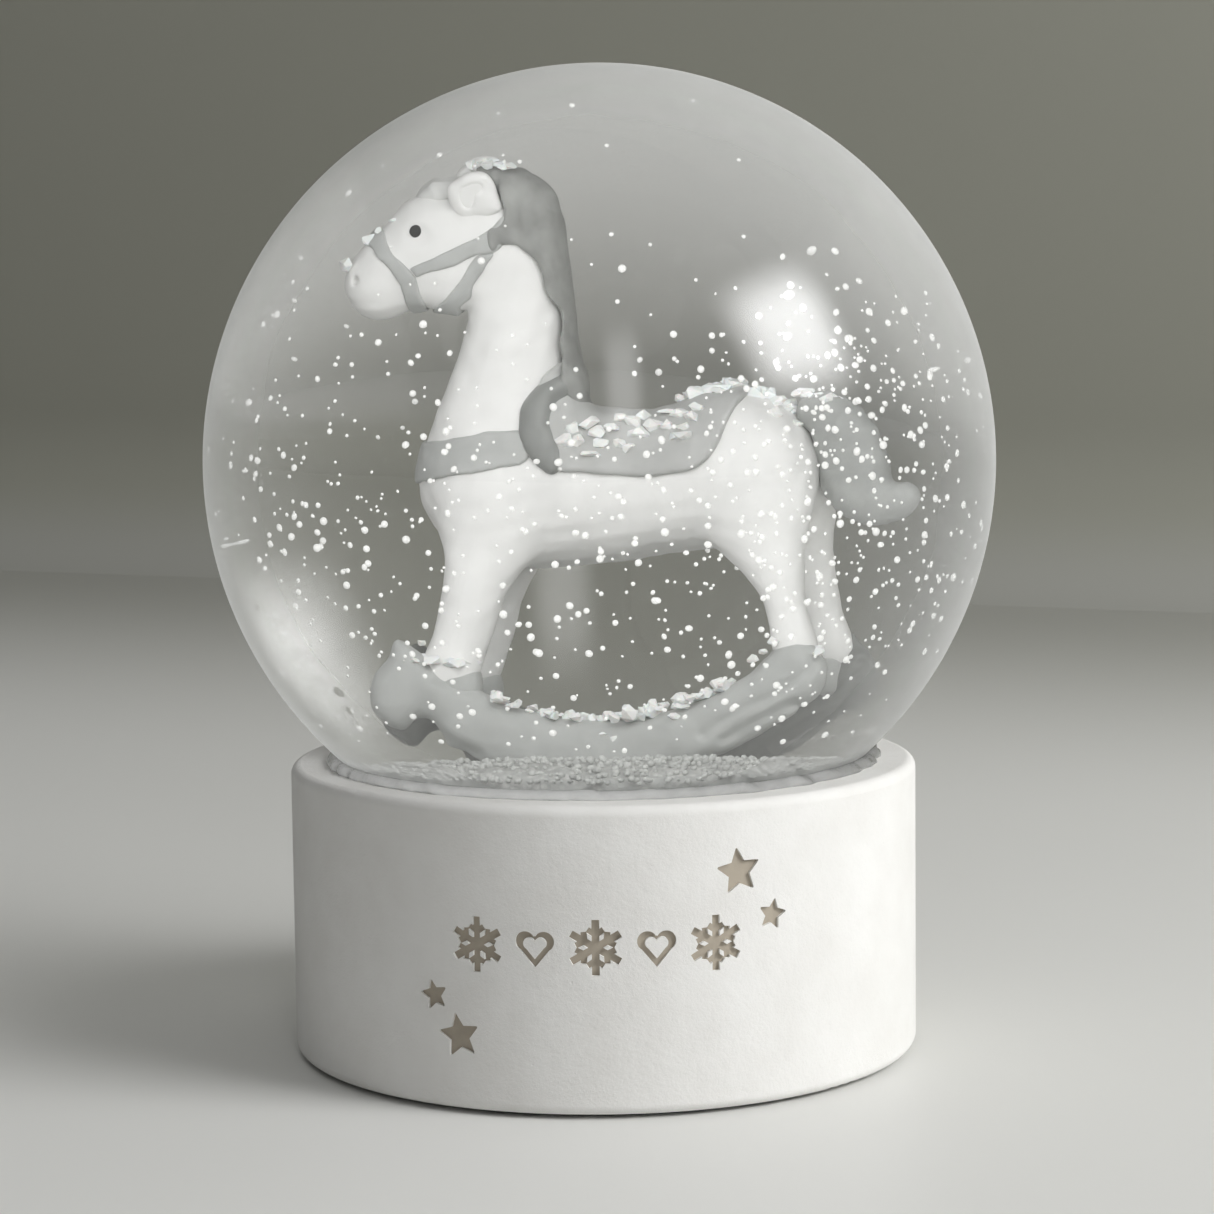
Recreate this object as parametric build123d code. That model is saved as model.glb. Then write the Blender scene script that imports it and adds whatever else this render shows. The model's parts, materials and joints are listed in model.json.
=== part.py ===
"""Snow globe: a water-filled glass ball on a cast plaster drum, with a cast rocking horse inside.

Millimetres. Origin at the middle of the felt's underside, +Z up, -Y towards the engraved front.
The figurine is built in its own frame (horse facing -X) and then turned by FIGURE_YAW about Z.
"""

from build123d import *
import math
import os
import random

os.makedirs("parts", exist_ok=True)

# ---------------------------------------------------------------- driving dimensions
GLOBE_R = 32.5  # outer radius of the glass ball
GLOBE_Z = 48.6  # height of the ball's centre
GLASS_WALL = 1.3
NECK_R = 20.4  # outer radius of the glass neck
NECK_BOTTOM = 14.3
BASE_R = 25.9
BASE_BOTTOM = 0.3  # the felt stands this far below the base
BASE_TOP = 24.1
BASE_EDGE = 0.8  # rounding of the drum's outer edges
WELL_R = 22.0
WELL_FLOOR = 10.4
FELT_R = 24.4
FELT_THICK = 1.5
FELT_GAP = 0.1
FLANGE_H = 2.3  # the stopper's flange under the neck
MOUND_TOP = 28.7
MOUND_EDGE = 26.0
ENGRAVE_DEPTH = 0.4
PAINT_THICK = 0.12
STROKE = 0.6  # width of an engraved line
FIGURE_YAW = -12.0
ROCKER_Y = 4.2  # middle of each rocker from the figurine's centre plane
ROCKER_THICK = 2.8
ROCKER_CENTRE = (1.0, 50.5)  # x, z of the rockers' arc centre
ROCKER_R_LOW = 22.4
ROCKER_R_TOP = 18.7
KNOB_R = 1.9  # scroll at each rocker end
KNOB_FRONT = (-12.4, 34.1)
KNOB_REAR = (14.3, 34.9)
STRAP_OUT = 0.4  # how far a strap stands out of the casting
FLAKE_COUNT = 110
FLAKE_CLEAR = 0.05  # liquid left clear around each flake
INNER_R = GLOBE_R - GLASS_WALL
NECK_IN = NECK_R - GLASS_WALL


# ---------------------------------------------------------------- helpers
def section(x, z, heading, half_h, half_w, y=0.0):
    """An ellipse square to a centre line that runs at heading degrees in the XZ plane."""
    a = math.radians(heading)
    plane = Plane(
        origin=(x, y, z), x_dir=(0, 1, 0), z_dir=(math.cos(a), 0, math.sin(a))
    )
    return plane * Ellipse(half_w, half_h)


def body_of(rows, grow=0.0):
    """A lofted limb through rows of (x, z, heading, half height, half width)."""
    return loft([section(x, z, d, h + grow, w + grow) for x, z, d, h, w in rows])


def side_outline(points, half_width):
    """A prism across the figurine from a closed outline of (x, z) points."""
    wire = Polyline(*[(x, z) for x, z in points], close=True)
    face = Plane.XZ * make_face(wire)
    return extrude(face, amount=half_width, both=True)


def solids_of(shape):
    """The solids of a boolean's result, largest first."""
    return sorted(shape.solids(), key=lambda s: -s.volume)


def biggest(shape, smallest=0.02):
    """One compound without the crumbs that a boolean leaves."""
    return Compound([s for s in solids_of(shape) if s.volume > smallest])


def turned(shape):
    return Rot(0, 0, FIGURE_YAW) * shape


def ring_profile(points):
    """A solid of revolution about Z from a closed (r, z) outline."""
    face = Plane.XZ * make_face(Polyline(*points, close=True))
    return revolve(face, Axis.Z)


def barrel(r_out, r_in, low, high):
    outer = Pos(0, 0, (low + high) / 2) * Cylinder(r_out, high - low)
    if not r_in:
        return outer
    return outer - Pos(0, 0, (low + high) / 2) * Cylinder(r_in, high - low + 2)


# ---------------------------------------------------------------- base and what it carries
def on_drum(shape, angle, height):
    """Stands a flat sketch on the drum's front, angle degrees round from the middle."""
    a = math.radians(angle)
    out = (math.sin(a), -math.cos(a), 0)
    plane = Plane(
        origin=(out[0] * (BASE_R - 3), out[1] * (BASE_R - 3), height),
        x_dir=(math.cos(a), math.sin(a), 0),
        z_dir=out,
    )
    return extrude(plane * shape, amount=6)


def star(r_out, turn):
    """Five points, a little blunted at their tips."""
    points = []
    for k in range(10):
        r = r_out if k % 2 == 0 else r_out * 0.48
        a = math.radians(turn + 90 + 36 * k)
        points.append((r * math.cos(a), r * math.sin(a)))
    outline = make_face(Polyline(*points, close=True))
    tips = [v for v in outline.vertices() if math.hypot(v.X, v.Y) > r_out * 0.9]
    return fillet(tips, STAR_TIP)


def snowflake(r_out):
    """Six arms with a pair of short barbs each."""
    arm = Pos(r_out / 2, 0) * Rectangle(r_out, STROKE)
    for side in (1, -1):
        barb = Pos(r_out * 0.17, 0) * Rectangle(r_out * 0.36, STROKE * 0.8)
        arm += Pos(r_out * 0.45, 0) * (Rot(0, 0, side * 55) * barb)
    flake = Circle(STROKE * 0.7)
    for k in range(6):
        flake += Rot(0, 0, 30 + 60 * k) * arm
    return flake


def heart(size):
    """An open heart drawn with one stroke."""
    def curve(s):
        lobe = s * 0.5
        left = Pos(-lobe * 0.94, lobe * 0.55) * Circle(lobe)
        right = Pos(lobe * 0.94, lobe * 0.55) * Circle(lobe)
        tip = (0, -s * 1.02)
        low = make_face(
            Polyline((-s * 0.90, s * 0.06), (0, s * 0.55), (s * 0.90, s * 0.06), tip, close=True)
        )
        return left + right + low

    return curve(size) - Pos(0, 0.02) * curve(size - STROKE * 1.05)


# (angle round the drum, height, radius, turn) of each engraved star
STARS = ((23.4, 18.7, 1.95, 6), (29.8, 15.1, 1.35, -12), (-30.5, 9.1, 1.35, 14), (-25.7, 6.1, 1.9, 10))
STAR_TIP = 0.1
MOTIF_HEIGHT = 13.35
MOTIF_STEP = 10.3  # degrees between neighbours in the row
MOTIF_MIDDLE = -1.5


def engraved_prisms():
    stars = [on_drum(star(r, turn), a, z) for a, z, r, turn in STARS]
    row = []
    for k in range(5):
        angle = MOTIF_MIDDLE + MOTIF_STEP * (k - 2)
        drawn = snowflake(2.15) if k % 2 == 0 else heart(1.55)
        row.append(on_drum(drawn, angle, MOTIF_HEIGHT))
    return stars, row


def base_with_engraving():
    drum = barrel(BASE_R, 0, BASE_BOTTOM, BASE_TOP)
    edges = [e for e in drum.edges() if e.geom_type == GeomType.CIRCLE]
    drum = fillet(edges, BASE_EDGE)
    drum -= barrel(WELL_R, 0, WELL_FLOOR, BASE_TOP + 1)
    drum -= barrel(FELT_R + FELT_GAP, 0, -1, FELT_THICK)
    skin = barrel(BASE_R + 2, BASE_R - ENGRAVE_DEPTH, 1, 24)
    paint = barrel(BASE_R - ENGRAVE_DEPTH + PAINT_THICK, BASE_R - ENGRAVE_DEPTH, 1, 24)
    stars, row = engraved_prisms()
    fills = []
    for group in (stars, row):
        fills.append(Compound([s for p in group for s in (p & paint).solids()]))
        for prism in group:
            drum -= prism & skin
    return drum, fills[0], fills[1]


def glass_ball():
    join = GLOBE_Z - math.sqrt(GLOBE_R**2 - NECK_R**2)
    join_in = GLOBE_Z - math.sqrt(INNER_R**2 - NECK_IN**2)
    outer = Pos(0, 0, GLOBE_Z) * Sphere(GLOBE_R)
    outer -= barrel(60, 0, -20, join)
    outer += barrel(NECK_R, 0, NECK_BOTTOM, join)
    inner = Pos(0, 0, GLOBE_Z) * Sphere(INNER_R)
    inner -= barrel(60, 0, -20, join_in)
    inner += barrel(NECK_IN, 0, NECK_BOTTOM - 1, join_in)
    return outer - inner, inner


def seat_adhesive(glass_outline):
    ring = barrel(WELL_R, NECK_R, WELL_FLOOR + FLANGE_H + 1.6, BASE_TOP - 0.35)
    return ring - (Pos(0, 0, GLOBE_Z) * Sphere(GLOBE_R))


def rubber_stopper():
    """The bung fills the neck and its flange closes the neck's end."""
    low = NECK_BOTTOM - FLANGE_H
    bung = barrel(NECK_IN, 0, NECK_BOTTOM, 23.4)
    return bung + barrel(NECK_R, 0, low, NECK_BOTTOM)


def ground_mound():
    """The cast ground on the stopper, domed, that the rockers stand in."""
    profile = [(0, 23.4), (NECK_IN - 0.1, 23.4), (NECK_IN - 0.1, 24.3), (18.6, 25.4)]
    profile += [(17.2, 26.6), (14.2, 27.6), (10.0, 28.3), (5.0, MOUND_TOP), (0, MOUND_TOP)]
    return ring_profile(profile)


def settled_flakes():
    """Loose snow that has sunk into the gutter between the mound and the glass."""
    profile = [(19.3, 24.55), (20.4, 25.35), (20.9, 25.9), (20.3, 26.7), (18.9, 27.1)]
    profile += [(17.5, 27.3), (17.2, 26.62), (18.62, 25.42)]
    return ring_profile(profile)


# ---------------------------------------------------------------- figurine, in its own frame
TRUNK = (
    (-10.9, 47.9, 0, 1.5, 1.5),
    (-9.4, 47.6, 0, 3.6, 3.2),
    (-6.0, 47.1, 0, 4.7, 4.3),
    (-1.0, 46.8, 0, 4.5, 4.7),
    (4.0, 46.8, 0, 4.3, 4.7),
    (8.0, 47.3, 0, 4.7, 4.9),
    (11.4, 47.6, 0, 5.1, 4.5),
    (13.6, 47.9, 0, 3.9, 3.2),
    (14.6, 48.2, 0, 1.6, 1.5),
)
NECK = (
    (-5.9, 46.5, 90, 4.3, 3.9),
    (-5.9, 50.5, 92, 4.1, 3.5),
    (-5.4, 54.5, 90, 3.2, 2.8),
    (-5.1, 58.0, 95, 2.8, 2.4),
    (-5.6, 61.2, 115, 2.8, 2.3),
    (-7.0, 63.4, 140, 2.1, 1.9),
)
HEAD = (
    (-5.7, 62.6, 205, 1.9, 1.9),
    (-7.2, 62.3, 205, 2.9, 2.4),
    (-9.4, 61.5, 205, 3.5, 2.6),
    (-11.6, 60.6, 205, 2.8, 2.15),
    (-13.3, 59.75, 205, 2.35, 1.75),
    (-14.7, 59.1, 205, 1.8, 1.45),
    (-15.7, 58.8, 205, 0.8, 0.8),
)
# x, distance from the centre plane, z, half size along x, half size across
FRONT_LEG = (
    (-6.8, 2.6, 46.0, 2.2, 1.6),
    (-6.7, 3.0, 43.5, 2.6, 1.9),
    (-7.3, 3.3, 41.0, 1.95, 1.7),
    (-8.3, 3.5, 38.5, 1.75, 1.55),
    (-9.2, 3.7, 36.5, 1.65, 1.5),
    (-9.4, 3.8, 35.6, 1.75, 1.5),
)
REAR_LEG = (
    (11.4, 2.6, 46.0, 2.5, 1.6),
    (11.9, 3.0, 43.0, 2.2, 1.8),
    (12.7, 3.3, 41.0, 1.4, 1.6),
    (13.0, 3.5, 39.3, 1.25, 1.45),
    (13.5, 3.7, 37.4, 1.35, 1.45),
    (13.7, 3.8, 36.5, 1.5, 1.5),
)
TAIL = (
    (13.9, 51.2, -10, 1.1, 1.1),
    (15.4, 50.9, -40, 1.8, 1.5),
    (16.4, 48.8, -75, 2.1, 1.8),
    (17.3, 46.8, -50, 1.8, 1.6),
    (19.0, 45.7, -8, 1.2, 1.2),
    (20.4, 45.9, 20, 0.8, 0.8),
    (21.1, 46.2, 25, 0.35, 0.35),
)
# x, z, half size along x, half size across, distance from the centre plane
EAR = (
    (-6.9, 63.3, 0.85, 0.6, 1.5),
    (-6.95, 64.3, 1.15, 0.7, 1.85),
    (-7.15, 65.4, 1.15, 0.65, 2.05),
    (-7.4, 66.3, 0.7, 0.45, 2.15),
    (-7.55, 66.8, 0.25, 0.2, 2.2),
)
EAR_SCOOP = (
    (-7.0, 64.3, 0.3, 0.2, 2.45),
    (-7.1, 64.9, 0.6, 0.35, 2.6),
    (-7.3, 65.7, 0.5, 0.35, 2.65),
    (-7.45, 66.2, 0.2, 0.15, 2.6),
)
SADDLE = (
    (-2.4, 54.8),
    (-3.9, 52.8),
    (-4.3, 50.4),
    (-3.8, 48.9),
    (-2.3, 48.1),
    (0.5, 47.7),
    (3.7, 47.5),
    (5.7, 47.8),
    (7.3, 48.4),
    (8.0, 49.4),
    (8.6, 51.2),
    (9.4, 54.8),
)
SADDLE_ROLL = (
    (-1.5, 54.6),
    (-3.2, 53.6),
    (-4.6, 51.9),
    (-4.9, 50.1),
    (-4.2, 48.6),
    (-2.7, 47.8),
    (-2.3, 48.9),
    (-3.1, 49.6),
    (-3.2, 51.4),
    (-2.3, 52.8),
    (-0.9, 53.9),
)
CHEST_BAND = ((-12.5, 47.5), (-4.4, 48.95), (-4.7, 50.85), (-12.5, 49.5))
MANE = (
    (-8.2, 66.6),
    (-7.0, 67.1),
    (-5.4, 66.8),
    (-4.0, 65.8),
    (-2.5, 64.8),
    (-2.2, 63.2),
    (-1.45, 60.5),
    (-1.15, 58.6),
    (-1.2, 56.0),
    (-0.7, 54.8),
    (-0.4, 53.3),
    (-1.5, 52.0),
    (-2.8, 54.0),
    (-2.9, 57.4),
    (-3.9, 59.9),
    (-5.0, 61.9),
    (-5.9, 62.8),
    (-6.2, 64.6),
)
FORELOCK = ((-11.2, 64.6), (-10.4, 65.8), (-9.2, 65.9), (-8.3, 66.5), (-7.9, 65.0), (-9.4, 63.9))
NOSEBAND = ((-14.3, 62.6), (-12.2, 60.3), (-11.3, 56.6), (-10.3, 56.9), (-11.3, 60.6), (-13.2, 63.2))
CHEEK_BAND = ((-11.9, 60.8), (-8.4, 62.2), (-5.9, 63.8), (-5.6, 62.8), (-7.7, 61.5), (-11.6, 59.9))
THROAT_BAND = ((-6.6, 62.3), (-7.5, 61.3), (-8.2, 60.0), (-9.8, 57.2), (-8.3, 57.0), (-7.2, 60.0), (-5.6, 62.3))


def leg(rows, side):
    """One leg; side is -1 for the horse's left, which is the front of the globe."""
    return loft([section(x, z, 90, hx, hy, side * y) for x, y, z, hx, hy in rows])


def hoof(rows, side, top):
    """A painted block between a leg's end and its rocker."""
    x, y, z, hx, hy = rows[-1]
    block = loft(
        [
            section(x, top, 90, hx + 0.1, hy, side * y),
            section(x - 0.1, top - 2.2, 90, hx + 0.35, hy + 0.1, side * (y + 0.1)),
        ]
    )
    return block


def rocker(side):
    """A curved runner with a rounded scroll at each end."""
    cx, cz = ROCKER_CENTRE
    thick = ROCKER_THICK
    ring = Cylinder(ROCKER_R_LOW, thick) - Cylinder(ROCKER_R_TOP, thick + 1)
    ring = Pos(cx, 0, cz) * (Rot(90, 0, 0) * ring)
    low = [(cx, cz), (KNOB_FRONT[0] - 4.2, 28.9), (-6, 20), (8, 20), (KNOB_REAR[0] + 4.2, 29.4)]
    runner = ring & side_outline(low, 10)
    for x, z in (KNOB_FRONT, KNOB_REAR):
        runner += Pos(x, 0, z) * (Rot(90, 0, 0) * Cylinder(KNOB_R, thick))
    solid = solids_of(runner)[0]
    return Pos(0, side * ROCKER_Y, 0) * solid


def ear(side):
    """A leaf-shaped ear with a scooped outer face."""
    leaf = loft([section(x, z, 97, hx, hy, side * y) for x, z, hx, hy, y in EAR])
    scoop = loft([section(x, z, 97, hx, hy, side * y) for x, z, hx, hy, y in EAR_SCOOP])
    return leaf - scoop


def eye(side):
    return Pos(-11.15, side * 1.86, 62.35) * Sphere(0.42)


def chip(rng, x, y, z, size):
    """One angular crumb of glued-on snow."""
    points = []
    for sx in (-1, 1):
        for sy in (-1, 1):
            for sz in (-1, 1):
                points.append(
                    (
                        x + sx * size * rng.uniform(0.25, 0.55),
                        y + sy * size * rng.uniform(0.25, 0.55),
                        z + sz * size * rng.uniform(0.25, 0.5),
                    )
                )
    return ConvexPolyhedron(points)


def top_of_trunk(x, y):
    """Height of the trunk's skin above a point, from its lofted sections."""
    for a, b in zip(TRUNK, TRUNK[1:]):
        if a[0] <= x <= b[0]:
            t = (x - a[0]) / (b[0] - a[0])
            z, h, w = (a[k] + t * (b[k] - a[k]) for k in (1, 3, 4))
            return z + h * math.sqrt(max(0.0, 1 - (y / w) ** 2))
    raise ValueError("outside the trunk")


def chips_on_saddle():
    rng = random.Random(11)
    spots = ((-1.2, -3.0), (0.3, -2.6), (1.6, -3.4), (-0.6, -4.0), (1.0, -4.1), (2.4, -4.2))
    spots += ((3.4, -3.1), (6.0, -4.0), (6.9, -3.6), (5.2, -2.2), (2.0, 2.6), (5.5, 3.0))
    return [chip(rng, x, y, top_of_trunk(x, y) + 1.15, 0.75) for x, y in spots]


def chips_on_rump():
    rng = random.Random(12)
    chips = []
    for k in range(12):
        x = 6.6 + 0.55 * k
        y = rng.uniform(-1.6, 1.6)
        chips.append(chip(rng, x, y, top_of_trunk(x, y) + 0.95, rng.uniform(0.7, 1.0)))
    return chips


def chips_on_rockers():
    rng = random.Random(13)
    cx, cz = ROCKER_CENTRE
    chips = []
    for k in range(24):
        x = -6.5 + 0.72 * k
        z = cz - math.sqrt(ROCKER_R_TOP**2 - (x - cx) ** 2)
        y = -ROCKER_Y + rng.uniform(-0.9, 0.9)
        chips.append(chip(rng, x, y, z + 0.45, rng.uniform(0.6, 0.95)))
    return chips


def chips_on_head():
    rng = random.Random(14)
    spots = ((-13.6, -0.5, 62.6), (-12.9, 0.1, 63.3), (-12.3, -0.3, 63.6), (-15.2, -0.6, 61.4))
    spots += ((-7.0, -0.6, 67.2), (-6.2, -0.2, 67.5), (-5.4, -0.4, 67.3))
    return [chip(rng, x, y, z, 0.7) for x, y, z in spots]


def without(shape, *others):
    """A boolean cut by each of several shapes, skipping those that miss."""
    box = shape.bounding_box()
    for other in others:
        near = other.bounding_box()
        apart = box.min.X > near.max.X or near.min.X > box.max.X
        apart = apart or box.min.Y > near.max.Y or near.min.Y > box.max.Y
        apart = apart or box.min.Z > near.max.Z or near.min.Z > box.max.Z
        if not apart:
            shape = shape - other
    return shape


def figurine():
    """Every figurine node, in the figurine's frame, none overlapping another."""
    trunk, neck, head = body_of(TRUNK), body_of(NECK), body_of(HEAD)
    torso = trunk + neck + head
    for side in (-1, 1):
        torso += leg(FRONT_LEG, side)
        torso += leg(REAR_LEG, side)
    torso = solids_of(torso)[0]
    node = {"horse_body": torso}

    for name, side in (("rocker_left", -1), ("rocker_right", 1)):
        node[name] = without(rocker(side), torso)
    hooves = []
    for side in (-1, 1):
        for rows in (FRONT_LEG, REAR_LEG):
            made = hoof(rows, side, rows[-1][2])
            cut = without(made, torso, node["rocker_left"], node["rocker_right"])
            hooves += solids_of(cut)[:1]
    node["hooves"] = Compound(hooves)

    wide = body_of(TRUNK, STRAP_OUT) + body_of(NECK, STRAP_OUT)
    saddle_skin = body_of(TRUNK, 0.7) & side_outline(SADDLE, 8)
    roll_skin = body_of(TRUNK, 1.15) & side_outline(SADDLE_ROLL, 8)
    node["saddle_roll"] = biggest(without(roll_skin, torso))
    node["saddle"] = biggest(without(saddle_skin, torso, node["saddle_roll"]))
    chest = wide & side_outline(CHEST_BAND, 8)
    node["chest_strap"] = biggest(without(chest, torso, node["saddle_roll"], node["saddle"]))

    face = body_of(HEAD, STRAP_OUT) + body_of(NECK, STRAP_OUT)
    noseband = face & side_outline(NOSEBAND, 6)
    node["noseband"] = biggest(without(noseband, torso))
    cheek = face & side_outline(CHEEK_BAND, 6)
    node["cheek_straps"] = biggest(without(cheek, torso, node["noseband"]))
    throat = face & side_outline(THROAT_BAND, 6)
    node["throat_latch"] = biggest(without(throat, torso, node["cheek_straps"]))

    for name, side in (("ear_left", -1), ("ear_right", 1)):
        straps = (node["cheek_straps"], node["throat_latch"])
        node[name] = Compound(solids_of(without(ear(side), torso, *straps))[:1])
    for name, side in (("eye_left", -1), ("eye_right", 1)):
        node[name] = Compound(solids_of(without(eye(side), torso))[:1])

    around = body_of(NECK, 1.7) + body_of(HEAD, 1.9) + Pos(-5.9, 0, 64.6) * Sphere(2.7)
    hair = around & side_outline(MANE, 2.2)
    taken = [torso] + [node[n] for n in ("ear_left", "ear_right", "cheek_straps", "throat_latch")]
    taken += [node["saddle"], node["saddle_roll"]]
    node["mane"] = biggest(without(hair, *taken), 0.3)
    tuft = around & side_outline(FORELOCK, 1.1)
    node["forelock"] = Compound(solids_of(without(tuft, *taken, node["mane"]))[:1])
    node["tail"] = Compound(solids_of(without(body_of(TAIL), torso))[:1])

    groups = {
        "snow_chips_saddle": (chips_on_saddle(), ("saddle",)),
        "snow_chips_rump": (chips_on_rump(), ("horse_body", "saddle")),
        "snow_chips_rockers": (chips_on_rockers(), ("rocker_left",)),
        "snow_chips_head": (chips_on_head(), ("horse_body", "mane", "noseband")),
    }
    for name, (chips, hosts) in groups.items():
        kept = []
        for one in chips:
            left = without(one, *(node[host] for host in hosts), *kept)
            kept += [s for s in solids_of(left)[:1] if s.volume > 0.05]
        node[name] = Compound(kept)
    return node


# ---------------------------------------------------------------- liquid and drifting flakes
def clear_radius(z):
    """Nearest that a circling flake may come to the globe's axis at a height."""
    if z < 39.5:
        return 21.0
    if z < 55.5:
        return 23.4
    if z < 69.0:
        return 19.0
    return 3.0


def floating_flakes():
    """Small discs hanging in the liquid, clear of the figurine all the way round."""
    rng = random.Random(5)
    flakes, room, middles = [], [], []
    while len(flakes) < FLAKE_COUNT:
        z = rng.uniform(30.5, 77.0)
        a = rng.uniform(0, 2 * math.pi)
        most = math.sqrt(max(0.0, (INNER_R - 0.9) ** 2 - (z - GLOBE_Z) ** 2))
        least = clear_radius(z)
        if most <= least + 0.3:
            continue
        r = math.sqrt(rng.uniform(least**2, most**2))
        x, y = r * math.cos(a), r * math.sin(a)
        if any(math.dist((x, y, z), m) < 1.4 for m in middles):
            continue
        middles.append((x, y, z))
        size = rng.uniform(0.26, 0.42)
        place = Pos(x, y, z) * Rot(rng.uniform(0, 180), rng.uniform(0, 180), 0)
        flakes.append((place * Cylinder(size, 0.22)).solid())
        room.append((place * Cylinder(size + FLAKE_CLEAR, 0.22 + 2 * FLAKE_CLEAR)).solid())
    return Compound(flakes), room


# side view of the room left for the figurine in the liquid, and of the liquid between its legs
ROOM_HALF = 6.5
ROOM = (
    (-16.0, 26.0),
    (-16.0, 37.5),
    (-12.8, 38.0),
    (-11.3, 42.0),
    (-12.8, 46.5),
    (-12.2, 50.8),
    (-9.7, 56.0),
    (-14.4, 56.2),
    (-17.2, 58.0),
    (-17.0, 61.2),
    (-14.6, 64.6),
    (-11.8, 67.2),
    (-8.6, 68.9),
    (-4.4, 68.9),
    (-1.4, 66.6),
    (0.7, 61.0),
    (0.7, 55.6),
    (5.0, 55.0),
    (12.6, 55.3),
    (17.2, 53.8),
    (19.4, 50.0),
    (22.6, 47.6),
    (22.2, 45.0),
    (19.2, 43.6),
    (15.8, 43.6),
    (16.0, 38.6),
    (17.6, 37.4),
    (17.6, 32.5),
    (14.0, 26.0),
)
ROOM_WINDOW = ((-5.0, 35.0), (-2.6, 41.6), (9.2, 41.6), (10.6, 36.0), (3.0, 34.2))


def liquid_of(inner, room):
    """The liquid, with a plain slot for the figurine and a pocket for each flake."""
    slot = side_outline(ROOM, ROOM_HALF) - side_outline(ROOM_WINDOW, ROOM_HALF + 2)
    fill = inner - barrel(60, 0, -20, 23.4)
    fill = fill - ground_mound() - settled_flakes() - turned(slot)
    return solids_of(solids_of(fill)[0].cut(*room))[0]


# ---------------------------------------------------------------- assembly
def main():
    base, stars, row = base_with_engraving()
    glass, inner = glass_ball()
    nodes = {
        "base_body": base,
        "engraved_stars": stars,
        "engraved_motif": row,
        "felt_pad": barrel(FELT_R, 0, 0, FELT_THICK),
        "seat_adhesive": seat_adhesive(glass),
        "glass_globe": glass,
        "rubber_stopper": rubber_stopper(),
    }
    figure = {name: turned(shape) for name, shape in figurine().items()}
    mound = without(ground_mound(), figure["rocker_left"], figure["rocker_right"])
    figure["ground_mound"] = Compound(solids_of(mound)[:1])
    figure["settled_flakes"] = Compound(
        solids_of(without(settled_flakes(), figure["rocker_left"], figure["rocker_right"]))[:1]
    )
    nodes.update(figure)
    flakes, room = floating_flakes()
    nodes["floating_flakes"] = flakes
    nodes["liquid_fill"] = liquid_of(inner, room)
    for name, shape in nodes.items():
        if not isinstance(shape, Compound):
            shape = Compound(shape.solids())
        export_step(shape, f"parts/{name}.step")
        print(name, len(shape.solids()), round(sum(s.volume for s in shape.solids()), 2))


main()
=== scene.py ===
"""Looks for the snow globe: glass ball of water on a cast plaster drum, painted rocking horse inside.

Lengths in the modelling functions are millimetres in the figurine's own frame (horse facing -X);
objects are made in metres in the CAD frame, after the figurine's turn about Z.
"""

import json
import math
import random

import bmesh
import bpy
import numpy as np
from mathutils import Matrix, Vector

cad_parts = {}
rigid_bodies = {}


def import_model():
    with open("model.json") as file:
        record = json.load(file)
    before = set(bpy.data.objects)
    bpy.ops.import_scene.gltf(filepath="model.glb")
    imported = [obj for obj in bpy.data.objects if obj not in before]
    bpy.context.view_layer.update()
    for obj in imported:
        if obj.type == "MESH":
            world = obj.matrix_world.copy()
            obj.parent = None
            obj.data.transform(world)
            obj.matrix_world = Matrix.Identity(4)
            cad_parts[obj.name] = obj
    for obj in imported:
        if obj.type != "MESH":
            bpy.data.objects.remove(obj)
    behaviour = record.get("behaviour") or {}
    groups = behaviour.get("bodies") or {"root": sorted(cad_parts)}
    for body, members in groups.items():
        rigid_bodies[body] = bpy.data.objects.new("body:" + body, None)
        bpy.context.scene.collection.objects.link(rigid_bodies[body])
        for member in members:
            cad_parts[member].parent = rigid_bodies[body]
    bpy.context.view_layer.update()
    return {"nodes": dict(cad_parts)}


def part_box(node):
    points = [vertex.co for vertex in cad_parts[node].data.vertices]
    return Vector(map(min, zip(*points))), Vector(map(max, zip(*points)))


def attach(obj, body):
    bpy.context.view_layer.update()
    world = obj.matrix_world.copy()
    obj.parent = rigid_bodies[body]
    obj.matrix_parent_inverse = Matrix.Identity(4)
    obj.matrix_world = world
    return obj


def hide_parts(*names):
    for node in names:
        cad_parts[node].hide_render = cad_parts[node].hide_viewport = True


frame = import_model()

MM = 0.001
glass_low, glass_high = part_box("glass_globe")
GLOBE_R = (glass_high[0] - glass_low[0]) / 2 / MM
GLOBE_Z = glass_high[2] / MM - GLOBE_R
MIDDLE = Vector((0, 0, GLOBE_Z * MM))
NECK_BOTTOM = glass_low[2] / MM
BASE_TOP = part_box("base_body")[1][2] / MM
WALL = 1.3
NECK_R = 20.4
LIQUID_BOTTOM = 23.45
YAW = math.radians(-12)
ROCKER_Y = 4.2
VOXEL = 0.15

# ---- signed distance fields


class Grid:
    """Points on a box-shaped lattice, as three broadcasting axes."""

    def __init__(self, low, high, step):
        self.low, self.step = np.array(low, float), step
        self.count = [int(math.ceil((h - l) / step)) + 1 for l, h in zip(low, high)]
        axes = [self.low[k] + step * np.arange(n) for k, n in enumerate(self.count)]
        self.x = axes[0].astype(np.float32)[:, None, None]
        self.y = axes[1].astype(np.float32)[None, :, None]
        self.z = axes[2].astype(np.float32)[None, None, :]

    def part(self, low, high):
        """The lattice points inside a smaller box, and the slices that pick them."""
        start = [max(0, int((l - o) / self.step)) for l, o in zip(low, self.low)]
        stop = [
            min(n, int((h - o) / self.step) + 2) for h, o, n in zip(high, self.low, self.count)
        ]
        window = tuple(slice(a, b) for a, b in zip(start, stop))
        small = Grid.__new__(Grid)
        small.low = self.low + self.step * np.array(start)
        small.step, small.count = self.step, [b - a for a, b in zip(start, stop)]
        small.x, small.y = self.x[window[0]], self.y[:, window[1]]
        small.z = self.z[:, :, window[2]]
        return small, window


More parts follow.
